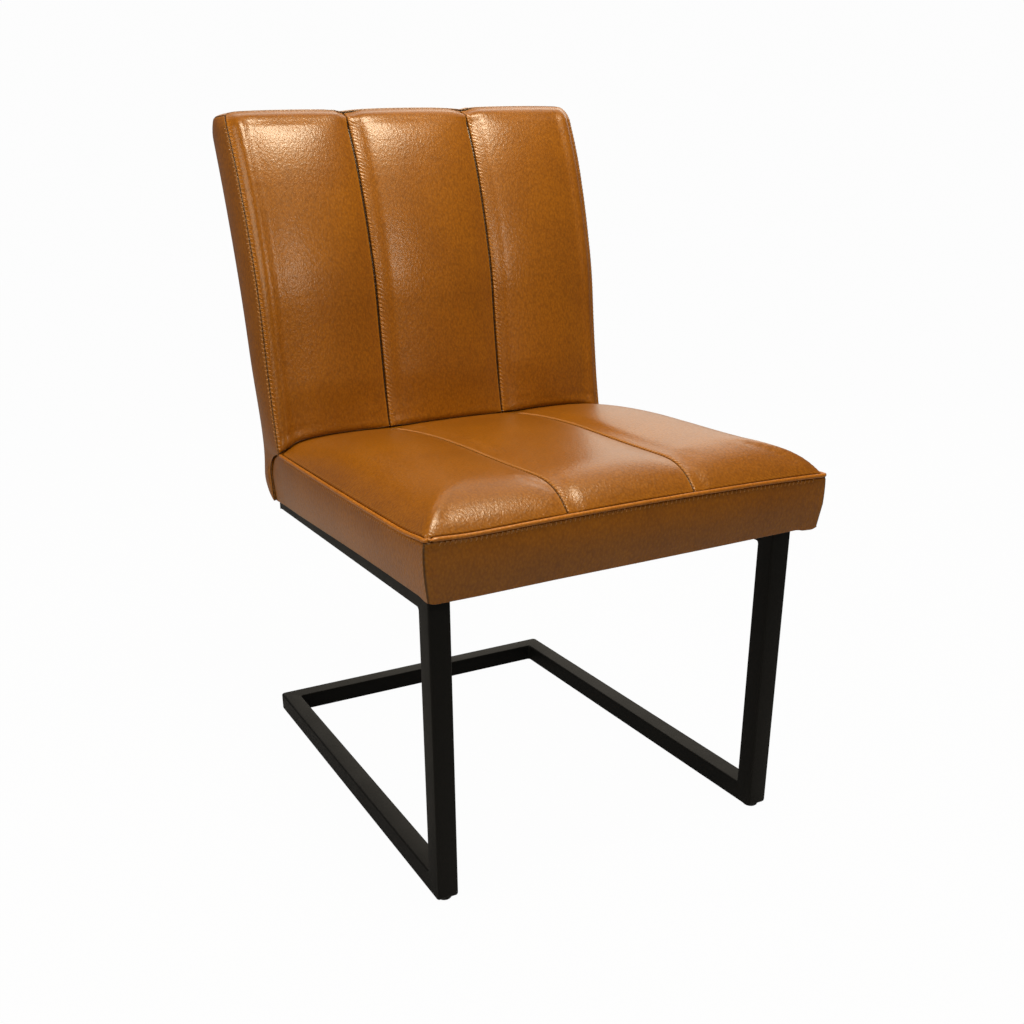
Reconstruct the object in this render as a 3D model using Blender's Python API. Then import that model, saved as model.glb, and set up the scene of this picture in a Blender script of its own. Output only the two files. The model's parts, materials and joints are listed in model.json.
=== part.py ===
"""Cantilever dining chair: an upholstered leather seat and back on a frame of square steel tube.

The chair faces -Y, its left side (seen from the front of the picture) is -X, and it stands on z = 0.
Every size below is in metres. The upholstery is drawn by two functions, seat_point and back_point,
and each cover, each foam and each board takes its shape from them.
"""
import math

import bmesh
import bpy
from mathutils import Vector

# Clearances and sheet thicknesses
GAP = 0.0003
SEAM_GAP = 0.0002
FOAM_CLEARANCE = 0.0008
BOARD_CLEARANCE = 0.0007
FLANGE_EASE = 0.0022
LEATHER = 0.0015
DUST_CLOTH = 0.0008

# Steel tube
TUBE = 0.0254
TUBE_WALL = 0.0016
TUBE_EDGE_RADIUS = 0.0025
TUBE_EDGE_STEPS = 3

# Frame
FRAME_DEPTH = 0.576
RAIL_TOP_Z = 0.377
RAIL_PAST_SEAT = 0.0236
FRONT_CROSSRAIL_SETBACK = 0.070
REAR_CROSSRAIL_SETBACK = 0.060
CAP_PLATE = 0.002
CAP_SPIGOT_LENGTH = 0.012
GLIDE_HEIGHT = 0.0035
GLIDE_DIAMETER = 0.018

# Seat upholstery, on the outside of the leather
BODY_WIDTH = 0.494
BODY_SIDE_OVERHANG = 0.0145
SEAT_OVERHANG = 0.029
SEAT_DEPTH = 0.448
SEAT_BAND_HEIGHT = 0.0592
SEAM_RISE_REAR = 0.008
SEAM_BOW_FRONT = 0.004
SEAT_CROWN = 0.033
SEAT_CROWN_DROP_REAR = 0.55
SEAT_CHANNEL_PILLOW = 0.007
SEAT_FRONT_ROLL = 0.097
SEAT_CORNER_FULLNESS = 6
SEAT_SIDE_BULGE = 0.002
SEAT_BOTTOM_DRAW = 0.0025
CHANNEL_WIDTH = 0.172
WELT_DIAMETER = 0.0045
WELT_INSET = 0.0002
WELT_SIDES = 10
FLANGE = 0.013

# The hidden joint between the seat and the back, as seen from the side
JOINT_BELLY = 0.046
JOINT_KNEE = 0.026
JOINT_GAP = 0.0005

# Back upholstery, on the outside of the leather
BACK_HEIGHT = 0.416
BACK_LEAN = 0.103
BACK_PILLOW = 0.011
BACK_SIDE_BULGE = 0.007
BACK_TOP_FLARE = 0.003
BACK_REAR_DRAW = 0.003
BACK_DEPTH_AT_SEAT = 0.070
BACK_REAR_LEAN = 0.052
BACK_REAR_CURVE_DEPTH = 0.0545
BACK_BOTTOM_ROUND_Z = 0.022
BACK_BOTTOM_ROUND_Y = 0.012
BACK_TOP_ROUND = 0.023
BACK_TOP_SCALLOP = 0.0025
BACK_CORNER_ROUND = 0.016
BACK_CORNER_CUT = 0.0047

# Boards, brackets and fasteners
SEAT_BOARD = 0.012
BACK_BOARD = 0.012
BOLT_DIAMETER = 0.006
BOLT_HEAD_DIAMETER = 0.012
BOLT_HEAD_HEIGHT = 0.0035
BOLT_CLEARANCE = 0.0006
BOLT_FRONT_SETBACK = 0.120
BOLT_REAR_SETBACK = 0.360
TNUT_BARREL = 0.0085
TNUT_FLANGE = 0.018
TNUT_FLANGE_THICKNESS = 0.0014
BRACKET_SPACING = 0.300
BRACKET_WIDTH = 0.040
BRACKET_THICKNESS = 0.003
BRACKET_FOOT = 0.062
BRACKET_RISE = 0.075
SCREW_DIAMETER = 0.0042
SCREW_LENGTH = 0.010
SCREW_HEAD_DIAMETER = 0.0085
SCREW_HEAD_HEIGHT = 0.0022
SCREW_SPACING = 0.024
POCKET_CLEARANCE = 0.0015

# Derived places
HALF_WIDTH = BODY_WIDTH / 2
HALF_CHANNEL = CHANNEL_WIDTH / 2
HALF_FRAME = HALF_WIDTH - BODY_SIDE_OVERHANG
FRAME_FRONT_Y = -FRAME_DEPTH / 2
FRAME_REAR_Y = FRAME_DEPTH / 2
RAIL_BOTTOM_Z = RAIL_TOP_Z - TUBE
SEAT_FRONT_Y = FRAME_FRONT_Y - SEAT_OVERHANG
JOINT_Y = SEAT_FRONT_Y + SEAT_DEPTH
RAIL_REAR_Y = JOINT_Y + JOINT_BELLY + RAIL_PAST_SEAT
SEAT_BASE_Z = RAIL_TOP_Z + GAP
SEAT_BOARD_Z = SEAT_BASE_Z + LEATHER + GAP
SEAT_BOARD_TOP_Z = SEAT_BOARD_Z + SEAT_BOARD
KNEE_Z = SEAT_BASE_Z + JOINT_KNEE
SEAM_Z = SEAT_BASE_Z + SEAT_BAND_HEIGHT
JOINT_EDGE_Z = SEAM_Z + SEAM_RISE_REAR
BACK_TOP_Z = JOINT_EDGE_Z + BACK_HEIGHT
BACK_REAR_TOP_Z = BACK_TOP_Z - BACK_TOP_ROUND
COVER_DEPTH = LEATHER + GAP
FOAM_INSET = COVER_DEPTH + FOAM_CLEARANCE
SEAM_TO_COVER = WELT_INSET + WELT_DIAMETER + SEAM_GAP

# The back's front line, as (share of its height, share of its lean)
BACK_FRONT_LINE = ((0, 0), (0.09, 0.08), (0.28, 0.18), (0.48, 0.26), (0.68, 0.46), (0.85, 0.69), (1, 1))

# Where the covers and foams have their grid lines, as shares
OUTER_PANEL_STEPS = (0, 0.07, 0.22, 0.45, 0.70, 0.87, 0.96, 1)
CENTRE_PANEL_STEPS = (-1, -0.8, -0.4, 0, 0.4, 0.8, 1)
SEAT_LENGTH_STEPS = (0, 0.018, 0.045, 0.09, 0.16, 0.27, 0.40, 0.54, 0.68, 0.80, 0.90, 0.96, 1)
LEVELS = (-4, -3, -2, -1, 0)
BACK_UPPER_STEPS = (0, 0.04, 0.11, 0.22, 0.36, 0.50, 0.64, 0.78, 0.88, 0.94, 0.98, 1)
BACK_STATIONS = LEVELS[:-1] + BACK_UPPER_STEPS
BOARD_STATIONS = BACK_STATIONS[2:]
BACK_THICKNESS_STEPS = (0, 0.3, 0.6, 0.85, 1)
REAR_PANEL_COLUMNS = (-1, -0.5, 0, 0.5, 1)


def lerp(start, end, share):
    return start + (end - start) * share


def colour(red, green, blue):
    """A linear colour from 0-255 sRGB values."""
    def linear(value):
        value /= 255
        return value / 12.92 if value <= 0.04045 else ((value + 0.055) / 1.055) ** 2.4
    return (linear(red), linear(green), linear(blue), 1)


def material(name, rgb, roughness, metallic=0.0):
    made = bpy.data.materials.new(name)
    made.use_nodes = True
    shader = made.node_tree.nodes["Principled BSDF"]
    shader.inputs["Base Color"].default_value = colour(*rgb)
    shader.inputs["Roughness"].default_value = roughness
    shader.inputs["Metallic"].default_value = metallic
    return made


def new_object(name, mesh, finish, smooth=False):
    """Adds a mesh as the node of that name, under the chair's empty."""
    made = bpy.data.objects.new(name, mesh)
    bpy.context.scene.collection.objects.link(made)
    made.parent = CHAIR
    mesh.materials.append(finish)
    if smooth:
        mesh.shade_smooth()
        mesh.set_sharp_from_angle(angle=math.radians(40))
    return made


def mesh_of(bm, name):
    bmesh.ops.recalc_face_normals(bm, faces=bm.faces)
    mesh = bpy.data.meshes.new(name)
    bm.to_mesh(mesh)
    bm.free()
    return mesh


def smooth_line(points, share):
    """A smooth curve through (share, value) points, read at one share."""
    for index in range(len(points) - 1):
        (x0, y0), (x1, y1) = points[index], points[index + 1]
        if share <= x1 or index == len(points) - 2:
            break

    def slope(at):
        low, high = max(at - 1, 0), min(at + 1, len(points) - 1)
        return (points[high][1] - points[low][1]) / (points[high][0] - points[low][0])

    width = x1 - x0
    t = (share - x0) / width
    h00 = 2 * t**3 - 3 * t**2 + 1
    h10 = t**3 - 2 * t**2 + t
    h01 = -2 * t**3 + 3 * t**2
    h11 = t**3 - t**2
    return h00 * y0 + h10 * width * slope(index) + h01 * y1 + h11 * width * slope(index + 1)


# Seat shape

def panel_columns():
    """The grid lines across the body, as shares of its half width, for the left, centre and right panel."""
    seam = HALF_CHANNEL / HALF_WIDTH
    right = [lerp(seam, 1, step) for step in OUTER_PANEL_STEPS]
    left = [-share for share in reversed(right)]
    centre = [seam * step for step in CENTRE_PANEL_STEPS]
    return left, centre, right


def all_columns():
    left, centre, right = panel_columns()
    return left + centre[1:-1] + right


def pillow(u):
    """How far a channel is puffed up, from 0 at its seams to 1 at its middle."""
    seam = HALF_CHANNEL / HALF_WIDTH
    if abs(u) <= seam:
        return 1 - abs(u / seam) ** 2.5
    across = 2 * (abs(u) - seam) / (1 - seam) - 1
    return 1 - abs(across) ** 2.5


def seat_pillow(u):
    """Like pillow, but an outer channel of the seat stays full out to its edge."""
    seam = HALF_CHANNEL / HALF_WIDTH
    if abs(u) <= seam:
        return pillow(u)
    return 1 - max(0, 1 - 2 * (abs(u) - seam) / (1 - seam)) ** 2.5


def seat_top_z(u, w):
    """Height of the seat's top at u across (-1 to 1) and w from the front edge (0) to the back (1)."""
    edge = SEAM_Z + SEAM_RISE_REAR * w**2 + SEAM_BOW_FRONT * (1 - u**2) * (1 - w) ** 8
    side_fall = abs(u) ** 10
    front_fall = (1 - min(1, w * SEAT_DEPTH / SEAT_FRONT_ROLL)) ** 4
    fall = (side_fall**SEAT_CORNER_FULLNESS + front_fall**SEAT_CORNER_FULLNESS) ** (1 / SEAT_CORNER_FULLNESS)
    rise = 1 - min(1, fall)
    if w > 0.5:
        rise *= 1 - SEAT_CROWN_DROP_REAR * (2 * w - 1) ** 2
    return edge + rise * (SEAT_CROWN + SEAT_CHANNEL_PILLOW * seat_pillow(u))


def joint_share(level):
    """How far the seat's rear face stands behind the joint at a level, as a share of the belly."""
    return 1 if level <= -3 else math.cos(math.radians(30 * (level + 3)))


def level_z(level, base, top):
    """Height of a level: -4 is the base, -3 the knee and 0 the top."""
    if level <= -3:
        return lerp(base, KNEE_Z, level + 4)
    return lerp(KNEE_Z, top, math.sin(math.radians(30 * (level + 3))))


def seat_point(u, level, w, base=SEAT_BASE_Z):
    """A point on the seat's outside: u across, level from the base (-4) to the top (0), w front to rear."""
    swell = math.sin(math.pi * (level + 4) / 4)
    drawn = SEAT_BOTTOM_DRAW * max(0, -3 - level)
    half = HALF_WIDTH + SEAT_SIDE_BULGE * swell * (1 - w**6) - drawn
    front = SEAT_FRONT_Y - SEAT_SIDE_BULGE * swell * (1 - u**6) + drawn
    rear = JOINT_Y + JOINT_BELLY * joint_share(level)
    return Vector((u * half, lerp(front, rear, w), level_z(level, base, seat_top_z(u, w))))


# Back shape

def rear_y(z):
    """The back's rear face at a height, outside the leather."""
    share = (z - SEAT_BASE_Z - BACK_BOTTOM_ROUND_Z) / (BACK_TOP_Z - SEAT_BASE_Z - BACK_BOTTOM_ROUND_Z)
    return JOINT_Y + BACK_DEPTH_AT_SEAT + BACK_REAR_LEAN * share + BACK_REAR_CURVE_DEPTH * share * abs(share)


def rear_line(w):
    """(y, z) of the rear face at a station: -4 is the bottom, 0 the seat's height and 1 the top."""
    round_top = SEAT_BASE_Z + BACK_BOTTOM_ROUND_Z
    if w < -2:
        turn = math.radians(45 * (w + 4))
        y = rear_y(round_top) - BACK_BOTTOM_ROUND_Y * (1 - math.sin(turn))
        return y, round_top - BACK_BOTTOM_ROUND_Z * math.cos(turn)
    if w < 0:
        z = lerp(round_top, JOINT_EDGE_Z, (w + 2) / 2)
    else:
        z = lerp(JOINT_EDGE_Z, BACK_REAR_TOP_Z, w)
    return rear_y(z), z


def top_edge_z(u):
    """Height of the back's front top edge, rounded down at its corners and dipped at the channel seams."""
    x = abs(u) * HALF_WIDTH
    past = max(0, x - (HALF_WIDTH - BACK_CORNER_ROUND)) / BACK_CORNER_ROUND
    return BACK_TOP_Z - BACK_CORNER_CUT * past**2 - BACK_TOP_SCALLOP * (1 - pillow(u)) * (1 - past)


def front_line(u, w):
    """(y, z) of the back's front face at a station, behind the seat below 0 and free above it."""
    start = JOINT_Y + JOINT_GAP
    joint_z = seat_top_z(u, 1)
    if w <= 0:
        return start + JOINT_BELLY * joint_share(w), level_z(w, SEAT_BASE_Z, joint_z)
    grown = min(1, w / 0.18)
    fade = grown * grown * (3 - 2 * grown) * (1 - max(0, (w - 0.86) / 0.14) ** 3)
    y = start + BACK_LEAN * smooth_line(BACK_FRONT_LINE, w) - BACK_PILLOW * pillow(u) * fade
    return y, lerp(joint_z, top_edge_z(u), w)


def back_point(u, v, w):
    """A point on the back's outside: u across, v from the front face (0) to the rear (1), w upwards."""
    front_y, front_z = front_line(u, w)
    back_y, back_z = rear_line(w)
    rolled = max(0, (v - 0.45) / 0.55) ** 2.2
    fall = lerp(v, rolled, max(0, w) ** 8)
    half = HALF_WIDTH + BACK_SIDE_BULGE * math.sin(math.pi * v) * (1 - (1 - min(1, max(0, w) / 0.3)) ** 2)
    half += BACK_TOP_FLARE * max(0, w) ** 3
    half -= BACK_REAR_DRAW * max(0, (v - 0.8) / 0.2) ** 2
    half -= BACK_CORNER_CUT * max(0, 1 - (1 - w) * BACK_HEIGHT / BACK_CORNER_ROUND) ** 2
    return Vector((u * half, lerp(front_y, back_y, v), lerp(front_z, back_z, fall)))


def board_rear_y(w):
    return rear_line(w)[0] - COVER_DEPTH - GAP


def board_front_y(z):
    """The back board's front face at a height, straight between its stations as the board itself is."""
    for low, high in zip(BOARD_STATIONS, BOARD_STATIONS[1:]):
        z_low, z_high = rear_line(low)[1], rear_line(high)[1]
        if z <= z_high:
            break
    share = max(0, (z - z_low) / (z_high - z_low))
    return lerp(board_rear_y(low), board_rear_y(high), share) - BACK_BOARD


def back_foam_point(u, v, w):
    """Like back_point, with v = 1 on the front of the board."""
    front_y = front_line(u, w)[0]
    depth = rear_line(w)[0] - front_y
    share = (board_front_y(rear_line(w)[1]) - front_y) / depth
    point = back_point(u, v * share, w)
    while v == 1 and abs(board_front_y(point.z) - BOARD_CLEARANCE + FOAM_INSET - point.y) > GAP / 10:
        share += (board_front_y(point.z) - BOARD_CLEARANCE + FOAM_INSET - point.y) / depth
        point = back_point(u, share, w)
    return point


# Mesh builders

def skin(name, rows, finish):
    """A sheet of leather: rows of points on its outside, thickened inwards."""
    bm = bmesh.new()
    grid = [[bm.verts.new(point) for point in row] for row in rows]
    for row, after in zip(grid, grid[1:]):
        for a, b, c, d in zip(row, row[1:], after[1:], after):
            bm.faces.new((a, b, c, d))
    mesh = bpy.data.meshes.new(name)
    bm.to_mesh(mesh)
    bm.free()
    made = new_object(name, mesh, finish, smooth=True)
    shell = made.modifiers.new("Thickness", "SOLIDIFY")
    shell.thickness = LEATHER
    shell.offset = -1
    shell.use_even_offset = True
    return made


def pulled_in(rows, first=0.0, last=0.0, sides=0.0):
    """The rows with their first, last and side edges drawn in by those distances, along the facets."""
    def moved(point, towards, distance):
        return point + (towards - point).normalized() * distance

    rows = [list(row) for row in rows]
    if first:
        rows[0] = [moved(a, b, first) for a, b in zip(rows[0], rows[1])]
    if last:
        rows[-1] = [moved(a, b, last) for a, b in zip(rows[-1], rows[-2])]
    if sides:
        for row in rows:
            row[0] = moved(row[0], row[1], sides)
            row[-1] = moved(row[-1], row[-2], sides)
    return rows


def closed_form(name, point, across, around, along, finish, inset):
    """A closed body from the six faces of a mapped box, drawn in evenly by inset."""
    bm = bmesh.new()
    made = {}

    def vert(i, j, k):
        key = (i, j, k)
        if key not in made:
            made[key] = bm.verts.new(point(across[i], around[j], along[k]))
        return made[key]

    def face_grid(first, second, place):
        for a in range(len(first) - 1):
            for b in range(len(second) - 1):
                corners = ((a, b), (a + 1, b), (a + 1, b + 1), (a, b + 1))
                bm.faces.new([vert(*place(p, q)) for p, q in corners])

    for end in (0, len(across) - 1):
        face_grid(around, along, lambda p, q, end=end: (end, p, q))
    for end in (0, len(around) - 1):
        face_grid(across, along, lambda p, q, end=end: (p, end, q))
    for end in (0, len(along) - 1):
        face_grid(across, around, lambda p, q, end=end: (p, q, end))
    bmesh.ops.recalc_face_normals(bm, faces=bm.faces)
    bm.normal_update()
    places = [v.co - v.normal * v.calc_shell_factor() * inset for v in bm.verts]
    for v, place in zip(bm.verts, places):
        v.co = place
    return new_object(name, mesh_of(bm, name), finish, smooth=True)


def prism(name, outline, half_width, finish, centre_x=0.0):
    """A (y, z) outline drawn out across X."""
    bm = bmesh.new()
    face = bm.faces.new([bm.verts.new((centre_x - half_width, y, z)) for y, z in outline])
    drawn = bmesh.ops.extrude_face_region(bm, geom=[face])
    moved = [item for item in drawn["geom"] if isinstance(item, bmesh.types.BMVert)]
    bmesh.ops.translate(bm, vec=(2 * half_width, 0, 0), verts=moved)
    return new_object(name, mesh_of(bm, name), finish)


def box(name, low, high, finish):
    outline = ((low[1], low[2]), (high[1], low[2]), (high[1], high[2]), (low[1], high[2]))
    return prism(name, outline, (high[0] - low[0]) / 2, finish, (low[0] + high[0]) / 2)


def lathe(bm, profile, centre, axis=Vector((0, 0, 1)), sides=16):
    """Adds a turned solid to bm: (radius, distance along the axis) from one pole to the other."""
    turned = Vector((0, 0, 1)).rotation_difference(axis)
    rings = []
    for radius, height in profile:
        count = 1 if radius == 0 else sides
        ring = []
        for index in range(count):
            angle = math.tau * index / sides
            place = Vector((radius * math.cos(angle), radius * math.sin(angle), height))
            ring.append(bm.verts.new(Vector(centre) + turned @ place))
        rings.append(ring)
    for low, high in zip(rings, rings[1:]):
        for index in range(sides):
            after = (index + 1) % sides
            corners = [low[index % len(low)], low[after % len(low)]]
            corners += [high[after % len(high)], high[index % len(high)]]
            bm.faces.new(list(dict.fromkeys(corners)))


def turned(name, profile, places, finish, sides=16, axis=Vector((0, 0, 1))):
    """A turned solid at each place, in one object."""
    bm = bmesh.new()
    for place in places:
        lathe(bm, profile, place, axis, sides)
    return new_object(name, mesh_of(bm, name), finish, smooth=True)


def cut(target, name, profile, places, axis=Vector((0, 0, 1)), sides=16):
    """Cuts a turned shape out of target at each place."""
    tool = turned(name, profile, places, STEEL_BLACK, sides, axis)
    hide_tool(tool)
    subtract(target, tool)


def hide_tool(tool):
    tool.hide_render = True
    tool.display_type = "WIRE"


def subtract(target, tool):
    difference = target.modifiers.new("Cut by " + tool.name, "BOOLEAN")
    difference.operation = "DIFFERENCE"
    difference.object = tool
    difference.solver = "EXACT"


# Frame

def section_ring(half, radius):
    """The outline of a square tube with rounded edges, as (across, up) pairs."""
    ring = []
    for quarter in range(4):
        start = quarter * math.pi / 2
        corner = Vector((half - radius, 0)), Vector((0, half - radius))
        sign_a = 1 if quarter in (0, 3) else -1
        sign_b = 1 if quarter in (0, 1) else -1
        centre = sign_a * corner[0] + sign_b * corner[1]
        for step in range(TUBE_EDGE_STEPS + 1):
            angle = start + step * math.pi / 2 / TUBE_EDGE_STEPS
            ring.append(centre + radius * Vector((math.cos(angle), math.sin(angle))))
    return ring


def tube(name, start, end, start_cut=None, end_cut=None):
    """A square tube between two points on its centre line. A cut is the normal of an end's mitre plane."""
    start, end = Vector(start), Vector(end)
    along = (end - start).normalized()
    across = Vector((1, 0, 0)) if abs(along.x) < 0.5 else Vector((0, 1, 0))
    up = along.cross(across)
    bm = bmesh.new()
    rings = []
    for centre, normal in ((start, start_cut), (end, end_cut)):
        normal = Vector(normal) if normal else along
        for half, radius in ((TUBE / 2, TUBE_EDGE_RADIUS), (TUBE / 2 - TUBE_WALL, TUBE_EDGE_RADIUS - TUBE_WALL)):
            ring = []
            for a, b in section_ring(half, radius):
                offset = across * a + up * b
                slide = -offset.dot(normal) / along.dot(normal)
                ring.append(bm.verts.new(centre + offset + along * slide))
            rings.append(ring)
    outer_start, inner_start, outer_end, inner_end = rings
    for first, second in ((outer_start, outer_end), (outer_end, inner_end),
                          (inner_end, inner_start), (inner_start, outer_start)):
        for index in range(len(first)):
            after = (index + 1) % len(first)
            bm.faces.new((first[index], first[after], second[after], second[index]))
    return new_object(name, mesh_of(bm, name), STEEL_BLACK, smooth=True)


def build_frame():
    side_x = HALF_FRAME - TUBE / 2
    floor_z = GLIDE_HEIGHT + TUBE / 2
    rail_z = RAIL_TOP_Z - TUBE / 2
    front_y = FRAME_FRONT_Y + TUBE / 2
    rear_bar_y = FRAME_REAR_Y - TUBE / 2
    slit = GAP / math.sqrt(2)
    rails = []
    for side, sign in (("left", -1), ("right", 1)):
        x = sign * side_x
        leg_low, leg_high = (x, front_y, floor_z + slit), (x, front_y, rail_z - slit)
        tube("leg_tube_" + side, leg_low, leg_high, (0, -1, 1), (0, 1, 1))
        inward = (-sign, 1, 0)
        tube("floor_runner_" + side, (x, front_y + slit, floor_z), (x, rear_bar_y - slit, floor_z),
             (0, 1, -1), inward)
        rail_end = RAIL_REAR_Y - CAP_PLATE - GAP
        rails.append(tube("seat_rail_" + side, (x, front_y + slit, rail_z), (x, rail_end, rail_z), (0, 1, 1)))
        build_end_cap(side, x, rail_end, rail_z)
        build_glides(side, x, front_y, rear_bar_y)
    left_end, right_end = (-side_x + slit, rear_bar_y, floor_z), (side_x - slit, rear_bar_y, floor_z)
    tube("rear_floor_crossbar", left_end, right_end, (1, 1, 0), (-1, 1, 0))
    inner = side_x - TUBE / 2 - GAP
    for place, y in (("front", FRAME_FRONT_Y + FRONT_CROSSRAIL_SETBACK),
                     ("rear", JOINT_Y - REAR_CROSSRAIL_SETBACK)):
        tube("seat_crossrail_" + place, (-inner, y, rail_z), (inner, y, rail_z))
    return rails


def build_end_cap(side, x, rail_end, rail_z):
    """A plug in the rail's open rear end: a plate outside and a spigot in the bore."""
    spigot = TUBE / 2 - TUBE_WALL - GAP
    bm = bmesh.new()
    start = rail_end + GAP
    loops = []
    for y, half in ((start - CAP_SPIGOT_LENGTH, spigot), (start, spigot), (start, TUBE / 2),
                    (start + CAP_PLATE, TUBE / 2)):
        corners = ((-half, -half), (half, -half), (half, half), (-half, half))
        loops.append([bm.verts.new((x + a, y, rail_z + b)) for a, b in corners])
    for low, high in zip(loops, loops[1:]):
        for index in range(4):
            after = (index + 1) % 4
            bm.faces.new((low[index], low[after], high[after], high[index]))
    bm.faces.new(loops[0])
    bm.faces.new(loops[-1])
    new_object("rail_end_cap_" + side, mesh_of(bm, "rail_end_cap_" + side), PLASTIC_BLACK)


def build_glides(side, x, front_y, rear_bar_y):
    radius = GLIDE_DIAMETER / 2
    top = GLIDE_HEIGHT - GAP
    profile = ((0, 0), (radius - 0.001, 0), (radius, 0.001), (radius, top), (0, top))
    for place, y in (("front", front_y), ("rear", rear_bar_y)):
        turned("glide_" + place + "_" + side, profile, [(x, y, 0)], PLASTIC_BLACK)


# Seat

def build_seat(rails):
    board = build_seat_board()
    build_rail_bolts(rails, board)
    foam = closed_form(
        "seat_foam",
        lambda u, level, w: seat_point(u, level, w, SEAT_BOARD_TOP_Z + GAP - FOAM_INSET),
        all_columns(), LEVELS, SEAT_LENGTH_STEPS, FOAM, FOAM_INSET,
    )
    build_dust_cover()
    build_seat_panels()
    build_seat_bands()
    build_seat_welt(foam)
    return board, foam


def build_seat_board():
    side = HALF_WIDTH - SEAT_BOTTOM_DRAW - COVER_DEPTH - 2 * GAP
    front = SEAT_FRONT_Y + SEAT_BOTTOM_DRAW + COVER_DEPTH + 2 * GAP
    rear = JOINT_Y + JOINT_BELLY - COVER_DEPTH
    return box("seat_board", (-side, front, SEAT_BOARD_Z), (side, rear, SEAT_BOARD_TOP_Z), PLYWOOD)


def rail_bolt_places():
    """Where a bolt goes up through each seat rail, as (name, x, y)."""
    side_x = HALF_FRAME - TUBE / 2
    return [(place + "_" + side, sign * side_x, FRAME_FRONT_Y + setback)
            for side, sign in (("left", -1), ("right", 1))
            for place, setback in (("front", BOLT_FRONT_SETBACK), ("rear", BOLT_REAR_SETBACK))]


def build_rail_bolts(rails, board):
    """Bolts up through the seat rails into threaded inserts in the seat board."""
    under = RAIL_BOTTOM_Z - GAP
    tip = SEAT_BOARD_TOP_Z - TNUT_FLANGE_THICKNESS - GAP
    shank, head = BOLT_DIAMETER / 2, BOLT_HEAD_DIAMETER / 2
    bolt = ((0, under - BOLT_HEAD_HEIGHT), (head * 0.8, under - BOLT_HEAD_HEIGHT),
            (head, under - BOLT_HEAD_HEIGHT * 0.5), (head, under), (shank, under), (shank, tip), (0, tip))
    hole = shank + BOLT_CLEARANCE / 2
    bore = ((0, RAIL_BOTTOM_Z - TUBE), (hole, RAIL_BOTTOM_Z - TUBE), (hole, SEAT_BASE_Z), (0, SEAT_BASE_Z))
    flange, barrel = TNUT_FLANGE / 2, TNUT_BARREL / 2
    seat = SEAT_BOARD_TOP_Z - TNUT_FLANGE_THICKNESS
    foot = SEAT_BOARD_Z + GAP
    insert = ((hole, foot), (barrel, foot), (barrel, seat), (flange, seat), (flange, SEAT_BOARD_TOP_Z),
              (hole, SEAT_BOARD_TOP_Z))
    room, floor = flange + GAP, seat - GAP
    above, below = SEAT_BOARD_TOP_Z + 2 * GAP, SEAT_BOARD_Z - 2 * GAP
    socket = ((0, below), (barrel + GAP, below), (barrel + GAP, floor), (room, floor), (room, above), (0, above))
    for place, x, y in rail_bolt_places():
        turned("rail_bolt_" + place, bolt, [(x, y, 0)], STEEL_BRIGHT)
        build_ring("seat_board_insert_" + place, insert, x, y)
    for rail, sign in zip(rails, (-1, 1)):
        cut(rail, rail.name + "_holes", bore, [(x, y, 0) for _, x, y in rail_bolt_places() if x * sign > 0])
    cut(board, "seat_board_sockets", socket, [(x, y, 0) for _, x, y in rail_bolt_places()])


def build_ring(name, profile, x, y, sides=16):
    """A turned ring round a vertical bore, from a closed (radius, height) profile."""
    bm = bmesh.new()
    rings = []
    for radius, height in profile:
        angles = [math.tau * index / sides for index in range(sides)]
        rings.append([bm.verts.new((x + radius * math.cos(a), y + radius * math.sin(a), height))
                      for a in angles])
    for low, high in zip(rings, rings[1:] + rings[:1]):
        for index in range(sides):
            after = (index + 1) % sides
            bm.faces.new((low[index], low[after], high[after], high[index]))
    return new_object(name, mesh_of(bm, name), STEEL_BRIGHT, smooth=True)


def build_dust_cover():
    side = HALF_WIDTH - SEAT_BOTTOM_DRAW - FLANGE - GAP
    front = SEAT_FRONT_Y + SEAT_BOTTOM_DRAW + FLANGE + GAP
    rear = JOINT_Y + JOINT_BELLY - COVER_DEPTH
    top = SEAT_BASE_Z + DUST_CLOTH
    cover = box("dust_cover", (-side, front, SEAT_BASE_Z), (side, rear, top), DUST_FABRIC)
    hole = BOLT_DIAMETER / 2 + BOLT_CLEARANCE
    low, high = SEAT_BASE_Z - DUST_CLOTH, top + DUST_CLOTH
    places = [(x, y, 0) for _, x, y in rail_bolt_places()]
    cut(cover, "dust_cover_holes", ((0, low), (hole, low), (hole, high), (0, high)), places)


def build_seat_panels():
    """The three top panels, sewn together at the channels and to the welt at the edges."""
    for side, columns in zip(("left", "centre", "right"), panel_columns()):
        rows = [[seat_point(u, 0, w) for u in columns] for w in SEAT_LENGTH_STEPS]
        rows = pulled_in(rows, first=SEAM_TO_COVER, last=SEAM_GAP)
        at_left = SEAM_TO_COVER if side == "left" else SEAM_GAP
        at_right = SEAM_TO_COVER if side == "right" else SEAM_GAP
        for row in rows:
            row[0] += (row[1] - row[0]).normalized() * at_left
            row[-1] += (row[-2] - row[-1]).normalized() * at_right
        skin("seat_panel_" + side, rows, LEATHER_TAN)


def under_welt(u, w):
    """The level at which a band ends, just under the welt."""
    rise = 1 - SEAM_TO_COVER / (seat_top_z(u, w) - KNEE_Z)
    return min(LEVELS[3], math.degrees(math.asin(rise)) / 30 - 3)


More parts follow.
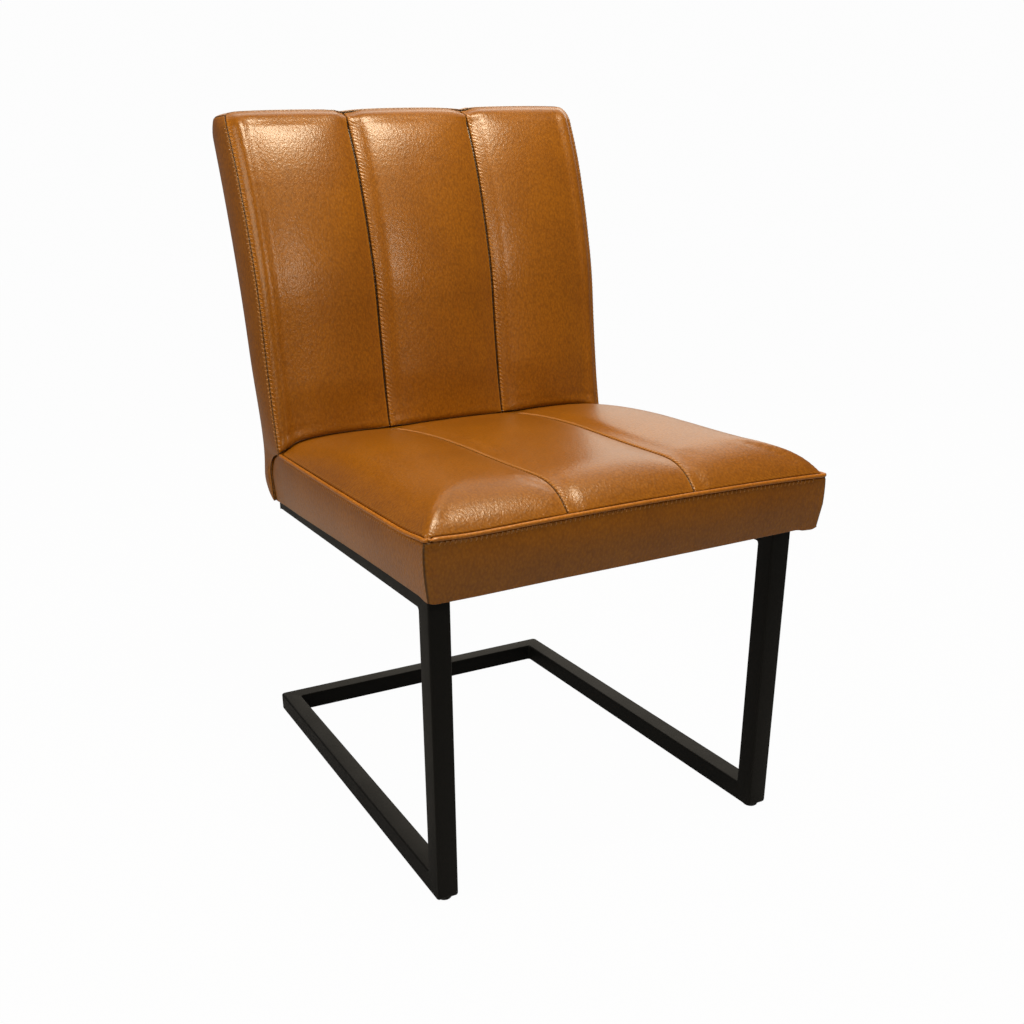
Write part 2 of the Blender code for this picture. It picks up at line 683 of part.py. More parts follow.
def build_seat_bands():
    """The front and side bands, each with a flange folded under the seat board."""
    rows = [[seat_point(u, level, 0) for u in all_columns()] for level in LEVELS[:3]]
    rows.append([seat_point(u, under_welt(u, 0), 0) for u in all_columns()])
    shorter = 1 - FLANGE / rows[0][-1].x
    rows.insert(0, [Vector((point.x * shorter, point.y + FLANGE, point.z)) for point in rows[0]])
    for row, ease in zip(rows, (FLANGE_EASE, FLANGE_EASE, SEAM_GAP, SEAM_GAP, SEAM_GAP)):
        row[0].x += COVER_DEPTH + ease
        row[-1].x -= COVER_DEPTH + ease
    skin("seat_band_front", rows, LEATHER_TAN)
    for side, sign in (("left", -1), ("right", 1)):
        rows = [[seat_point(sign, level, w) for w in SEAT_LENGTH_STEPS] for level in LEVELS[:3]]
        rows.append([seat_point(sign, under_welt(sign, w), w) for w in SEAT_LENGTH_STEPS])
        flange = []
        for w, point in zip(SEAT_LENGTH_STEPS, rows[0]):
            flange.append(point + Vector((-sign * FLANGE, FLANGE * (1 - w), 0)))
        rows.insert(0, flange)
        for row in rows:
            row[-1] += (row[-2] - row[-1]).normalized() * (SEAM_GAP + GAP)
            if side == "left":
                row.reverse()
        skin("seat_band_" + side, rows, LEATHER_TAN)


def welt_route():
    """The welt's centre line, from the left side's rear end round the front to the right side's."""
    inset = WELT_INSET + WELT_DIAMETER / 2
    inner = [w for w in SEAT_LENGTH_STEPS if w * SEAT_DEPTH > inset]
    left = [seat_point(-1, 0, w) + Vector((inset, 0, -inset)) for w in reversed(inner)]
    middle = [seat_point(u, 0, 0) + Vector((0, inset, -inset)) for u in all_columns()[1:-1]]
    right = [seat_point(1, 0, w) + Vector((-inset, 0, -inset)) for w in inner]
    corners = [seat_point(sign, 0, 0) + Vector((-sign * inset, inset, -inset)) for sign in (-1, 1)]
    return left + corners[:1] + middle + corners[1:] + right


def sweep(name, route, radius, finish):
    """A round cord along a nearly level route, mitred where it turns."""
    bm = bmesh.new()
    rings = []
    for index, place in enumerate(route):
        before = (place - route[max(index - 1, 0)]).normalized()
        after = (route[min(index + 1, len(route) - 1)] - place).normalized()
        along = (before + after).normalized()
        side = along.cross(Vector((0, 0, 1))).normalized()
        up = side.cross(along)
        side /= max(along.dot(before), along.dot(after))
        angles = [math.tau * step / WELT_SIDES for step in range(WELT_SIDES)]
        rings.append([bm.verts.new(place + radius * (side * math.cos(a) + up * math.sin(a))) for a in angles])
    for low, high in zip(rings, rings[1:]):
        for index in range(WELT_SIDES):
            after = (index + 1) % WELT_SIDES
            bm.faces.new((low[index], low[after], high[after], high[index]))
    bm.faces.new(rings[0])
    bm.faces.new(rings[-1])
    return new_object(name, mesh_of(bm, name), finish, smooth=True)


def build_seat_welt(foam):
    """The leather-covered cord sewn into the seat's top edge, and the groove for it in the foam."""
    route = welt_route()
    groove = sweep("welt_groove", route, WELT_DIAMETER / 2 + GAP, LEATHER_TAN)
    hide_tool(groove)
    subtract(foam, groove)
    for end, inner in ((0, 1), (-1, -2)):
        route[end] += (route[inner] - route[end]).normalized() * SEAM_GAP
    sweep("seat_welt", route, WELT_DIAMETER / 2, LEATHER_TAN)


# Back

def build_back(seat_board, seat_foam):
    board = build_back_board()
    foam = closed_form(
        "back_foam", back_foam_point, all_columns(), (0, 0.35, 0.7, 1), BACK_STATIONS, FOAM, FOAM_INSET,
    )
    build_brackets(seat_board, seat_foam, board, foam)
    build_back_covers()


def build_back_board():
    """The curved plywood board inside the back's rear face."""
    heights = [rear_line(w)[1] for w in BOARD_STATIONS]
    heights[-1] -= COVER_DEPTH + GAP
    rear = [(rear_y(z) - COVER_DEPTH - GAP, z) for z in heights]
    bottom_z = lerp(rear_line(-3)[1], heights[0], 0.3)
    rear.insert(0, (board_rear_y(-3), bottom_z))
    front = [(board_front_y(z), z) for z in reversed(heights)]
    front.append((front[-1][0], bottom_z))
    side = HALF_WIDTH - BACK_REAR_DRAW - BACK_CORNER_CUT - COVER_DEPTH - GAP
    return prism("back_board", rear + front, side, PLYWOOD)


def build_brackets(seat_board, seat_foam, back_board, back_foam):
    """Steel angles that hold the back board to the seat board, in pockets of the foams."""
    floor = SEAT_BOARD_TOP_Z + GAP
    top = floor + BRACKET_RISE
    knots = [rear_line(w)[1] for w in BOARD_STATIONS]
    heights = [floor + BRACKET_THICKNESS] + [z for z in knots if floor + BRACKET_THICKNESS < z < top] + [top]
    face = [(board_front_y(z) - GAP, z) for z in heights]
    heel = (face[0][0], floor)
    toe = face[0][0] - BRACKET_FOOT
    outer = [(toe, floor), heel] + face
    inner = [(y - BRACKET_THICKNESS, z) for y, z in reversed(face)]
    outline = outer + inner + [(toe, floor + BRACKET_THICKNESS)]
    for side, sign in (("left", -1), ("right", 1)):
        x = sign * BRACKET_SPACING / 2
        half = BRACKET_WIDTH / 2
        bracket = prism("back_bracket_" + side, outline, half, STEEL_BRIGHT, x)
        build_bracket_screws(side, x, toe, heel, face, bracket, seat_board, back_board)
        room = half + POCKET_CLEARANCE
        reach = BRACKET_THICKNESS + SCREW_HEAD_HEIGHT + POCKET_CLEARANCE
        foot = box("bracket_foot_pocket_" + side, (x - room, toe - POCKET_CLEARANCE, floor - BRACKET_RISE),
                   (x + room, heel[0] + BACK_BOARD, floor + reach), STEEL_BRIGHT)
        rise = box("bracket_rise_pocket_" + side, (x - room, face[0][0] - reach, floor - POCKET_CLEARANCE),
                   (x + room, face[-1][0] + BACK_BOARD, top + POCKET_CLEARANCE), STEEL_BRIGHT)
        for pocket in (foot, rise):
            hide_tool(pocket)
            subtract(back_foam, pocket)
        subtract(seat_foam, foot)
        subtract(seat_foam, rise)


def build_bracket_screws(side, x, toe, heel, face, bracket, seat_board, back_board):
    """Pan-head screws down into the seat board and back into the back board, two of each."""
    shank, head = SCREW_DIAMETER / 2, SCREW_HEAD_DIAMETER / 2
    seat = BRACKET_THICKNESS + 2 * GAP
    screw = ((0, -SCREW_LENGTH + seat), (shank, -SCREW_LENGTH + seat), (shank, seat), (head, seat),
             (head, seat + SCREW_HEAD_HEIGHT / 2), (head * 0.7, seat + SCREW_HEAD_HEIGHT),
             (0, seat + SCREW_HEAD_HEIGHT))
    loose = shank + BOLT_CLEARANCE / 2
    bore = ((0, -SCREW_LENGTH + seat - GAP), (loose, -SCREW_LENGTH + seat - GAP), (loose, 2 * seat),
            (0, 2 * seat))
    offsets = (-SCREW_SPACING / 2, SCREW_SPACING / 2)
    floor = SEAT_BOARD_TOP_Z
    down = [(x + offset, lerp(toe, heel[0], 0.42), floor) for offset in offsets]
    for place, at in zip(("a", "b"), down):
        turned("bracket_seat_screw_" + side + "_" + place, screw, [at], STEEL_BRIGHT, 12)
    cut(bracket, "bracket_seat_bores_" + side, bore, down, sides=12)
    cut(seat_board, "seat_screw_bores_" + side, bore, down, sides=12)
    (low_y, low_z), (high_y, high_z) = face[-3], face[-2]
    middle = Vector((0, (low_y + high_y) / 2 + GAP, (low_z + high_z) / 2))
    out = Vector((0, -(high_z - low_z), high_y - low_y)).normalized()
    back = [middle + Vector((x + offset, 0, 0)) for offset in offsets]
    for place, at in zip(("a", "b"), back):
        turned("bracket_back_screw_" + side + "_" + place, screw, [at], STEEL_BRIGHT, 12, out)
    cut(bracket, "bracket_back_bores_" + side, bore, back, out, 12)
    cut(back_board, "back_screw_bores_" + side, bore, back, out, 12)


def build_back_covers():
    for side, columns in zip(("left", "centre", "right"), panel_columns()):
        rows = [[back_point(u, 0, w) for u in columns] for w in BACK_UPPER_STEPS]
        rows = pulled_in(rows, first=SEAM_GAP, last=SEAM_GAP, sides=SEAM_GAP)
        skin("back_panel_" + side, rows, LEATHER_TAN)
    for side, sign in (("left", -1), ("right", 1)):
        rows = [[back_point(sign, v, w) for v in BACK_THICKNESS_STEPS] for w in BACK_STATIONS]
        rows = pulled_in(rows, last=COVER_DEPTH + SEAM_GAP, sides=COVER_DEPTH + SEAM_GAP)
        for row in rows:
            if side == "left":
                row.reverse()
        skin("back_band_" + side, rows, LEATHER_TAN)
    rows = [[back_point(u, v, 1) for u in all_columns()] for v in BACK_THICKNESS_STEPS]
    rows = pulled_in(rows, first=COVER_DEPTH + SEAM_GAP, last=COVER_DEPTH + SEAM_GAP, sides=SEAM_GAP)
    skin("back_band_top", rows, LEATHER_TAN)
    rows = [[back_point(u, 1, w) for u in REAR_PANEL_COLUMNS] for w in BACK_STATIONS]
    flange = [point - Vector((0, BACK_BOTTOM_ROUND_Y - LEATHER, 0)) for point in rows[0]]
    rows = pulled_in([flange] + rows, last=SEAM_GAP)
    for row in rows:
        row.reverse()
    skin("back_rear_panel", rows, LEATHER_TAN)


def stand_on_centre():
    """Moves the whole chair so that the middle of its footprint's box is at the origin."""
    bpy.context.view_layer.update()
    graph = bpy.context.evaluated_depsgraph_get()
    corners = []
    for made in CHAIR.children:
        if not made.hide_render:
            shown = made.evaluated_get(graph)
            corners += [shown.matrix_world @ Vector(corner) for corner in shown.bound_box]
    low, high = min(corner.y for corner in corners), max(corner.y for corner in corners)
    CHAIR.location.y = -(low + high) / 2


for leftover in list(bpy.data.objects):
    bpy.data.objects.remove(leftover, do_unlink=True)

CHAIR = bpy.data.objects.new("chair", None)
bpy.context.scene.collection.objects.link(CHAIR)

LEATHER_TAN = material("tan_leather", (160, 95, 38), 0.42)
STEEL_BLACK = material("black_powder_coat", (34, 34, 31), 0.5, 0.0)
STEEL_BRIGHT = material("zinc_plated_steel", (170, 170, 165), 0.35, 1.0)
PLASTIC_BLACK = material("black_plastic", (22, 22, 22), 0.55)
PLYWOOD = material("birch_plywood", (196, 160, 112), 0.7)
FOAM = material("upholstery_foam", (214, 200, 150), 0.9)
DUST_FABRIC = material("black_dust_cloth", (20, 20, 20), 0.9)

seat_board, seat_foam = build_seat(build_frame())
build_back(seat_board, seat_foam)
stand_on_centre()
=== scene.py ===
# %% [markdown]
# This lesson dresses a dining chair: a leather seat and back on a frame of black square tube.
# The imported model is loaded first. Every new piece is set by it, so nothing has to be fitted later.
# Left and right are as seen from the front, also in the names of the pieces.

# %% Load the imported chair
import json
import math

import bmesh
import bpy
import numpy as np
from mathutils import Matrix, Vector
from mathutils.bvhtree import BVHTree
from mathutils.kdtree import KDTree

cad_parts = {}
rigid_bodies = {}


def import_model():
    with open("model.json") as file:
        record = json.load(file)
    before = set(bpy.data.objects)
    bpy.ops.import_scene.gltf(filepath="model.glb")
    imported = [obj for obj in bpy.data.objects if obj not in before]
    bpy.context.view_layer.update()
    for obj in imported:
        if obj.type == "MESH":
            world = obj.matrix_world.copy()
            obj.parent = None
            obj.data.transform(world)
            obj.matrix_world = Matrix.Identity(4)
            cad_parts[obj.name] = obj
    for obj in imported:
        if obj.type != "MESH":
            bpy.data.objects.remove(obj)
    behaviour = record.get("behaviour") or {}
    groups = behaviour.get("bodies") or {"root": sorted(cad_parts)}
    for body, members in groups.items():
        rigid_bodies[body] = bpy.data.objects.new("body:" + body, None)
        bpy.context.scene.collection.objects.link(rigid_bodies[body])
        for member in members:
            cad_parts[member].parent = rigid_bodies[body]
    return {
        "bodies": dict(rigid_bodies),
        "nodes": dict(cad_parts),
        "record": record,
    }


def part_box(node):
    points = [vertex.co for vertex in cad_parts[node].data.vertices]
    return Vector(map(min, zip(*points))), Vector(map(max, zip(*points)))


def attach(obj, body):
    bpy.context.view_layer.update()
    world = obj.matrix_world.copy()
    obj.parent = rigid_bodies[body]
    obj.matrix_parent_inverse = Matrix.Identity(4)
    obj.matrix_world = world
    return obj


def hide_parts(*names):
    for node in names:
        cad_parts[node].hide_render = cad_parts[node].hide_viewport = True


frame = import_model()
NODES = frame["nodes"]
BODY = next(iter(frame["bodies"]))
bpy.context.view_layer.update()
print("nodes", len(NODES), "body", BODY)

# %% [markdown]
# The camera stands to the left of the chair's front and a little above the seat, as in the photograph.
# It could be turned by eye until the picture fits, but a fit to many points of the frame at once places
# it more exactly. The small shift is that of a cropped picture.

# %% Camera
MM = 0.001
CAMERA_PLACE = Vector((-0.6448, -1.1811, 0.7309))
CAMERA_YAW = math.radians(21.921)
CAMERA_PITCH = math.radians(21.816)
CAMERA_ROLL = math.radians(-3.058)
CAMERA_LENS = 36.943
CAMERA_SHIFT = (0.1247, 0.1194)


def camera_axes():
    level = Vector((math.sin(CAMERA_YAW), math.cos(CAMERA_YAW), 0.0))
    side = Vector((math.cos(CAMERA_YAW), -math.sin(CAMERA_YAW), 0.0))
    up = Vector((0.0, 0.0, 1.0))
    ahead = math.cos(CAMERA_PITCH) * level - math.sin(CAMERA_PITCH) * up
    raised = math.sin(CAMERA_PITCH) * level + math.cos(CAMERA_PITCH) * up
    right = math.cos(CAMERA_ROLL) * side + math.sin(CAMERA_ROLL) * raised
    top = -math.sin(CAMERA_ROLL) * side + math.cos(CAMERA_ROLL) * raised
    return right, top, -ahead


camera_data = bpy.data.cameras.new("camera")
camera_data.sensor_width = 36.0
camera_data.lens = CAMERA_LENS
camera_data.shift_x, camera_data.shift_y = CAMERA_SHIFT
camera_data.clip_start = 0.05
camera = bpy.data.objects.new("camera", camera_data)
camera.matrix_world = Matrix.Translation(CAMERA_PLACE) @ Matrix(camera_axes()).transposed().to_4x4()
bpy.context.scene.collection.objects.link(camera)
bpy.context.scene.camera = camera
bpy.context.scene.view_settings.view_transform = "Standard"
print("camera at", tuple(round(value, 3) for value in camera.location))

# %% [markdown]
# Colours are written as hex, the way a paint chart gives them, and one function turns them linear.
# One more function adds a shader node with its values and links, so each material reads as a list.


# %% Colour and node helpers
def colour(code):
    channels = [int(code[place:place + 2], 16) / 255 for place in (1, 3, 5)]
    linear = [c / 12.92 if c <= 0.04045 else ((c + 0.055) / 1.055) ** 2.4 for c in channels]
    return (*linear, 1.0)


def add_node(tree, kind, inputs=None, **settings):
    made = tree.nodes.new(kind)
    for name, value in settings.items():
        setattr(made, name, value)
    for name, value in (inputs or {}).items():
        if isinstance(value, bpy.types.NodeSocket):
            tree.links.new(value, made.inputs[name])
        else:
            made.inputs[name].default_value = value
    return made


def new_material(name, **shader_values):
    material = bpy.data.materials.new(name)
    material.use_nodes = True
    shader = material.node_tree.nodes["Principled BSDF"]
    for socket, value in shader_values.items():
        shader.inputs[socket.replace("_", " ")].default_value = value
    return material, material.node_tree, shader


def dress(piece, material):
    piece.data.materials.clear()
    piece.data.materials.append(material)


# %% [markdown]
# The cover is semi-aniline cowhide: dyed through, with a thin clear finish. It gives a warm tan with
# soft clouds of darker and paler dye, a fine pebbled grain, and a gloss that breaks up on the pebbles.
# A picture of a hide would repeat and bring its own light, so the pattern is made of noise and cells at
# sizes in millimetres. Real pebbles are about 1 mm and the grit on them finer, too small to show from
# here, so both are drawn two to three times coarser. Three attributes on the mesh mark the sewing:
# seam_stretch_and_highlight draws a pale line beside the seams and on their puckers, partly as pull-up
# leather pales where stretched and partly as painted highlight on the raised lip; seam_painted_shade
# is painted shade inside a seam and round the welt; and seam_pull is where it puckers.

# %% Leather
PEBBLE_SIZE = 2.6 * MM
FINE_GRAIN = 1.5 * MM
CLOUD_SIZE = 90 * MM
FLECK_SIZE = 2.6 * MM
CREASE_SIZE = 3.6 * MM
PUCKER_PITCH = 6 * MM
WAVE_PERIOD = math.tau / 10
# how much paler the puckers' crests are drawn: partly pull-up paling, partly painted highlight
PUCKER_PALE_AND_HIGHLIGHT = 0.3
# painted shade: the near-black drawn into the seam slits and round the welt, where shadow falls
SEAM_SHADOW = "#160A04"
WARM_FINISH = (1.0, 0.85, 0.55, 1.0)


def cowhide(name, base, deep, pale, pore):
    material, tree, shader = new_material(name, IOR=1.45, Coat_Weight=0.32, Coat_Roughness=0.22,
                                          Specular_Tint=WARM_FINISH)
    place = add_node(tree, "ShaderNodeTexCoord").outputs["Object"]
    clouds = add_node(tree, "ShaderNodeTexNoise", {
        "Vector": place, "Scale": 1 / CLOUD_SIZE, "Detail": 4.0, "Roughness": 0.6})
    flecks = add_node(tree, "ShaderNodeTexNoise", {
        "Vector": place, "Scale": 1 / FLECK_SIZE, "Detail": 5.0, "Roughness": 0.65})
    leaning = add_node(tree, "ShaderNodeMapping", {
        "Vector": place, "Rotation": (0.2, 0.9, 0.5), "Scale": (1.0, 1.0, 0.6)})
    cells = add_node(tree, "ShaderNodeTexVoronoi", {
        "Vector": leaning.outputs[0], "Scale": 1 / PEBBLE_SIZE, "Smoothness": 0.35},
        feature="SMOOTH_F1")
    grit = add_node(tree, "ShaderNodeTexNoise", {
        "Vector": place, "Scale": 1 / FINE_GRAIN, "Detail": 2.0, "Roughness": 0.5})
    creases = add_node(tree, "ShaderNodeTexNoise", {
        "Vector": leaning.outputs[0], "Scale": 1 / CREASE_SIZE, "Detail": 3.0, "Roughness": 0.6,
        "Distortion": 0.4})
    cloud_share = add_node(tree, "ShaderNodeMapRange", {
        "Value": clouds.outputs["Fac"], "From Min": 0.34, "From Max": 0.66})
    fleck_share = add_node(tree, "ShaderNodeMapRange", {
        "Value": flecks.outputs["Fac"], "From Min": 0.3, "From Max": 0.72, "To Max": 0.55})
    clouded = add_node(tree, "ShaderNodeMix", {
        0: cloud_share.outputs[0], 6: colour(deep), 7: colour(base)}, data_type="RGBA")
    flecked = add_node(tree, "ShaderNodeMix", {
        0: fleck_share.outputs[0], 6: clouded.outputs[2], 7: colour(pale)}, data_type="RGBA")
    pores = add_node(tree, "ShaderNodeMapRange", {
        "Value": cells.outputs["Distance"], "From Min": 0.25, "From Max": 0.8, "To Max": 0.5})
    pored = add_node(tree, "ShaderNodeMix", {
        0: pores.outputs[0], 6: flecked.outputs[2], 7: colour(pore)}, data_type="RGBA")
    # a pale line on each seam's lip and paler pucker crests: partly pull-up leather paling where stretched,
    # partly painted highlight
    pale_and_lit_seams = add_node(tree, "ShaderNodeAttribute", attribute_name="seam_stretch_and_highlight")
    pull = add_node(tree, "ShaderNodeAttribute", attribute_name="seam_pull")
    waves = add_node(tree, "ShaderNodeTexWave", {
        "Vector": place, "Scale": WAVE_PERIOD / PUCKER_PITCH, "Distortion": 1.2, "Detail": 1.0},
        bands_direction="DIAGONAL")
    puckers = add_node(tree, "ShaderNodeMath", {
        0: waves.outputs["Fac"], 1: pull.outputs["Fac"]}, operation="MULTIPLY")
    drawn = add_node(tree, "ShaderNodeMath", {
        0: puckers.outputs[0], 1: PUCKER_PALE_AND_HIGHLIGHT, 2: pale_and_lit_seams.outputs["Fac"]},
        operation="MULTIPLY_ADD", use_clamp=True)
    paler = add_node(tree, "ShaderNodeMix", {
        0: drawn.outputs[0], 6: pored.outputs[2], 7: colour(pale)}, data_type="RGBA")
    # painted shade: the seam slits, the joint's crease and the welt's edges are drawn near black
    sewn = add_node(tree, "ShaderNodeAttribute", attribute_name="seam_painted_shade")
    darker = add_node(tree, "ShaderNodeMix", {
        0: sewn.outputs["Fac"], 6: paler.outputs[2], 7: colour(SEAM_SHADOW)}, data_type="RGBA")
    tree.links.new(darker.outputs[2], shader.inputs["Base Color"])
    gloss = add_node(tree, "ShaderNodeMapRange", {
        "Value": flecks.outputs["Fac"], "From Min": 0.3, "From Max": 0.7, "To Min": 0.32, "To Max": 0.44})
    tree.links.new(gloss.outputs[0], shader.inputs["Roughness"])
    pebbles = add_node(tree, "ShaderNodeBump", {
        "Height": cells.outputs["Distance"], "Strength": 0.5, "Distance": 0.25 * MM})
    folds = add_node(tree, "ShaderNodeBump", {
        "Height": creases.outputs["Fac"], "Normal": pebbles.outputs[0],
        "Strength": 0.6, "Distance": 0.45 * MM})
    pulled = add_node(tree, "ShaderNodeBump", {
        "Height": puckers.outputs[0], "Normal": folds.outputs[0],
        "Strength": 0.7, "Distance": 0.5 * MM})
    grain = add_node(tree, "ShaderNodeBump", {
        "Height": grit.outputs["Fac"], "Normal": pulled.outputs[0],
        "Strength": 0.5, "Distance": 0.3 * MM})
    tree.links.new(grain.outputs[0], shader.inputs["Normal"])
    tree.links.new(grain.outputs[0], shader.inputs["Coat Normal"])
    return material


LEATHER = cowhide("tan_semi_aniline_cowhide", "#925400", "#804600", "#AC6B0E", "#6C3C00")
# the welt's hide is the seat leather drawn paler: a painted highlight on the round cord
WELT_LEATHER_PAINTED_HIGHLIGHT = cowhide("tan_welt_cowhide_painted_highlight", "#B4690A", "#A25B04", "#D28C34", "#8F4D00")
print("leather", LEATHER.name)

# %% [markdown]
# The other finishes are simpler: one fine pattern moves the colour and the gloss a little, and the same
# pattern or a second one gives the relief. They could be six long functions, but one builder keeps what
# they share in a single place, and each call then reads like a line of a finishing schedule.


# %% Finishes that follow one pattern
def patterned(name, dark, pale, pattern, relief=None, gloss=None, stretch=None, **shader_values):
    """A finish. pattern is a texture's kind, its marks' size, its other inputs and the output read.

    relief is such a pattern with the marks' height and strength, and gloss a range of roughness.
    """
    material, tree, shader = new_material(name, **shader_values)
    place = add_node(tree, "ShaderNodeTexCoord").outputs["Object"]
    if stretch:
        place = add_node(tree, "ShaderNodeMapping", {"Vector": place, "Scale": stretch}).outputs[0]

    def marks(kind, size, inputs, output):
        return add_node(tree, kind, {"Vector": place, "Scale": 1 / size, **inputs}).outputs[output]

    shade = marks(*pattern)
    tint = add_node(tree, "ShaderNodeMix", {
        0: shade, 6: colour(dark), 7: colour(pale)}, data_type="RGBA")
    tree.links.new(tint.outputs[2], shader.inputs["Base Color"])
    if gloss:
        spread = add_node(tree, "ShaderNodeMapRange", {
            "Value": shade, "To Min": gloss[0], "To Max": gloss[1]})
        tree.links.new(spread.outputs[0], shader.inputs["Roughness"])
    if relief:
        *height_pattern, height, strength = relief
        bump = add_node(tree, "ShaderNodeBump", {
            "Height": marks(*height_pattern), "Strength": strength, "Distance": height})
        tree.links.new(bump.outputs[0], shader.inputs["Normal"])
    return material


NOISE, CELLS = "ShaderNodeTexNoise", "ShaderNodeTexVoronoi"

# %% [markdown]
# The frame is powder-coated mild steel. Powder melts into a tough, even coat with a faint orange peel,
# so the black is never quite flat: it turns grey where it catches the light from above. Bolts, inserts
# and brackets are zinc-plated, which gives a pale metal with dull and bright crystals. The glides and
# end caps are moulded polypropylene, black through, with the fine matt skin of a sparked mould.

# %% Powder-coated steel, zinc plate and moulded plastic
POWDER_COAT = patterned(
    "black_powder_coated_steel", "#080807", "#0F0F0D", (NOISE, 50 * MM, {"Detail": 3.0}, "Fac"),
    relief=(NOISE, 1.2 * MM, {"Detail": 1.0}, "Fac", 0.08 * MM, 0.25), gloss=(0.46, 0.58),
    IOR=1.45, Specular_IOR_Level=0.2)
ZINC = patterned(
    "zinc_plated_steel", "#A9AAA4", "#C9C9C2", (CELLS, 2 * MM, {}, "Distance"),
    gloss=(0.28, 0.45), Metallic=1.0)
SPARKED_SKIN = (NOISE, 0.5 * MM, {"Detail": 2.0}, "Fac")
PLASTIC = patterned(
    "black_moulded_polypropylene", "#121211", "#1D1D1B", SPARKED_SKIN,
    relief=(*SPARKED_SKIN, 0.05 * MM, 0.4), IOR=1.49, Roughness=0.62)
print("metals and plastic", POWDER_COAT.name, ZINC.name, PLASTIC.name)

# %% [markdown]
# Under the leather are birch plywood, and beneath the seat a spunbonded polypropylene dust cloth,
# a felt-like black sheet with a grid of melted dots. Birch has pale straight grain with fine dark pores
# along it. The sewing thread is bonded polyester, a little paler than the hide, with a soft lustre.

# %% Plywood, dust cloth and thread
BIRCH_GRAIN = (NOISE, 3 * MM, {"Detail": 4.0, "Roughness": 0.6}, "Fac")
PLYWOOD = patterned(
    "birch_plywood", "#B48E5C", "#D8BC8C", BIRCH_GRAIN, relief=(*BIRCH_GRAIN, 0.1 * MM, 0.3),
    stretch=(1.0, 0.06, 1.0), IOR=1.5, Roughness=0.7)
DUST_CLOTH = patterned(
    "black_spunbond_polypropylene", "#0E0E0E", "#232323", (NOISE, 1.5 * MM, {"Detail": 4.0}, "Fac"),
    relief=(CELLS, 2.5 * MM, {"Randomness": 0.1}, "Distance", 0.15 * MM, 0.5),
    IOR=1.49, Roughness=0.85, Sheen_Weight=0.2)
THREAD = patterned(
    "tan_bonded_polyester_thread", "#8A5218", "#C98A3C", (NOISE, 0.8 * MM, {"Detail": 2.0}, "Fac"),
    IOR=1.5, Roughness=0.55, Sheen_Weight=0.3)
print("wood, cloth and thread", PLYWOOD.name, DUST_CLOTH.name, THREAD.name)

# %% [markdown]
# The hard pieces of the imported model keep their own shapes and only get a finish, by the slot that the
# record names. The leather, foam and cloth ones get none, because new pieces stand for all of them.

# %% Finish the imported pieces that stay
finishes = {"black_steel": POWDER_COAT, "black_plastic": PLASTIC, "plated_steel": ZINC,
            "plywood": PLYWOOD}
slot_of = {row["node"]: row["material_slot"] for row in frame["record"]["subparts"]}
for node_name, slot_name in slot_of.items():
    if slot_name in finishes:
        dress(NODES[node_name], finishes[slot_name])
print("finished nodes", sum(slot_name in finishes for slot_name in slot_of.values()))

# %% [markdown]
# The steel tube is bought square, cut on the mitre, welded, and the welds are ground flush before
# coating. So the whole frame reads as one bent line with crisp corners. It is made the same way: one
# square face is pushed along the path, stopping at each mitre, and the edges are rounded afterwards.
# Seven boxes would be quicker to lay, but their ends would show as seams, which the real coat hides.

# %% Welded tube frame
TUBE = 25.4 * MM
TUBE_EDGE = 2.6 * MM
CORNER_ROUND = 6 * MM
FILLET = 3.2 * MM
LONG_EDGE_ANGLE = math.radians(60)
SHARP_ANGLE = math.radians(35)


def box_middle(node):
    low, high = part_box(node)
    return (low + high) / 2


def mitre_normal(before, here, after):
    if before is None:
        return (after - here).normalized()
    if after is None:
        return (here - before).normalized()
    return ((here - before).normalized() + (after - here).normalized()).normalized()


def push_tube(path, width):
    mesh = bmesh.new()
    start = bmesh.ops.create_grid(mesh, x_segments=1, y_segments=1, size=width / 2)["verts"]
    heading = (path[1] - path[0]).normalized()
    side = heading.cross(Vector((0.0, 0.0, 1.0)))
    upward = side.cross(heading)
    bmesh.ops.transform(mesh, verts=start, matrix=Matrix.Translation(path[0])
                        @ Matrix((side, upward, heading)).transposed().to_4x4())
    face = mesh.faces[:][0]
    for step in range(1, len(path)):
        after = path[step + 1] if step + 1 < len(path) else None
        normal = mitre_normal(path[step - 1], path[step], after)
        heading = (path[step] - path[step - 1]).normalized()
        pushed = bmesh.ops.extrude_face_region(mesh, geom=[face])["geom"]
        if step > 1:
            mesh.faces.remove(face)
        face = next(piece for piece in pushed if isinstance(piece, bmesh.types.BMFace))
        for vert in face.verts:
            vert.co += heading * ((path[step] - vert.co).dot(normal) / heading.dot(normal))
    bmesh.ops.recalc_face_normals(mesh, faces=mesh.faces[:])
    return mesh


# %% Helpers for edges and new pieces
def edges_along(mesh, wanted):
    return [edge for edge in mesh.edges if len(edge.link_faces) == 2 and wanted(edge)]


def add_piece(name, mesh, material, smooth=True):
    data = bpy.data.meshes.new(name)
    mesh.to_mesh(data)
    mesh.free()
    piece = bpy.data.objects.new(name, data)
    bpy.context.scene.collection.objects.link(piece)
    dress(piece, material)
    for polygon in data.polygons:
        polygon.use_smooth = smooth
    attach(piece, BODY)
    return piece


# %% Path of the tube
rail_middle = box_middle("seat_rail_left")
leg_middle = box_middle("leg_tube_left")
runner_middle = box_middle("floor_runner_left")
bar_middle = box_middle("rear_floor_crossbar")
rail_end_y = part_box("seat_rail_left")[1].y
left_path = [Vector((rail_middle.x, rail_end_y, rail_middle.z)),
             Vector((rail_middle.x, leg_middle.y, rail_middle.z)),
             Vector((rail_middle.x, leg_middle.y, runner_middle.z)),
             Vector((rail_middle.x, bar_middle.y, runner_middle.z))]
frame_path = left_path + [Vector((-p.x, p.y, p.z)) for p in reversed(left_path)]
tube = push_tube(frame_path, TUBE)
print("tube corners", len(frame_path) - 2)


# %% Round the edges and the welded corners
def edges_near(corner):
    return edges_along(tube, lambda edge: all((vert.co - corner).length < TUBE * 1.1
                                              for vert in edge.verts))


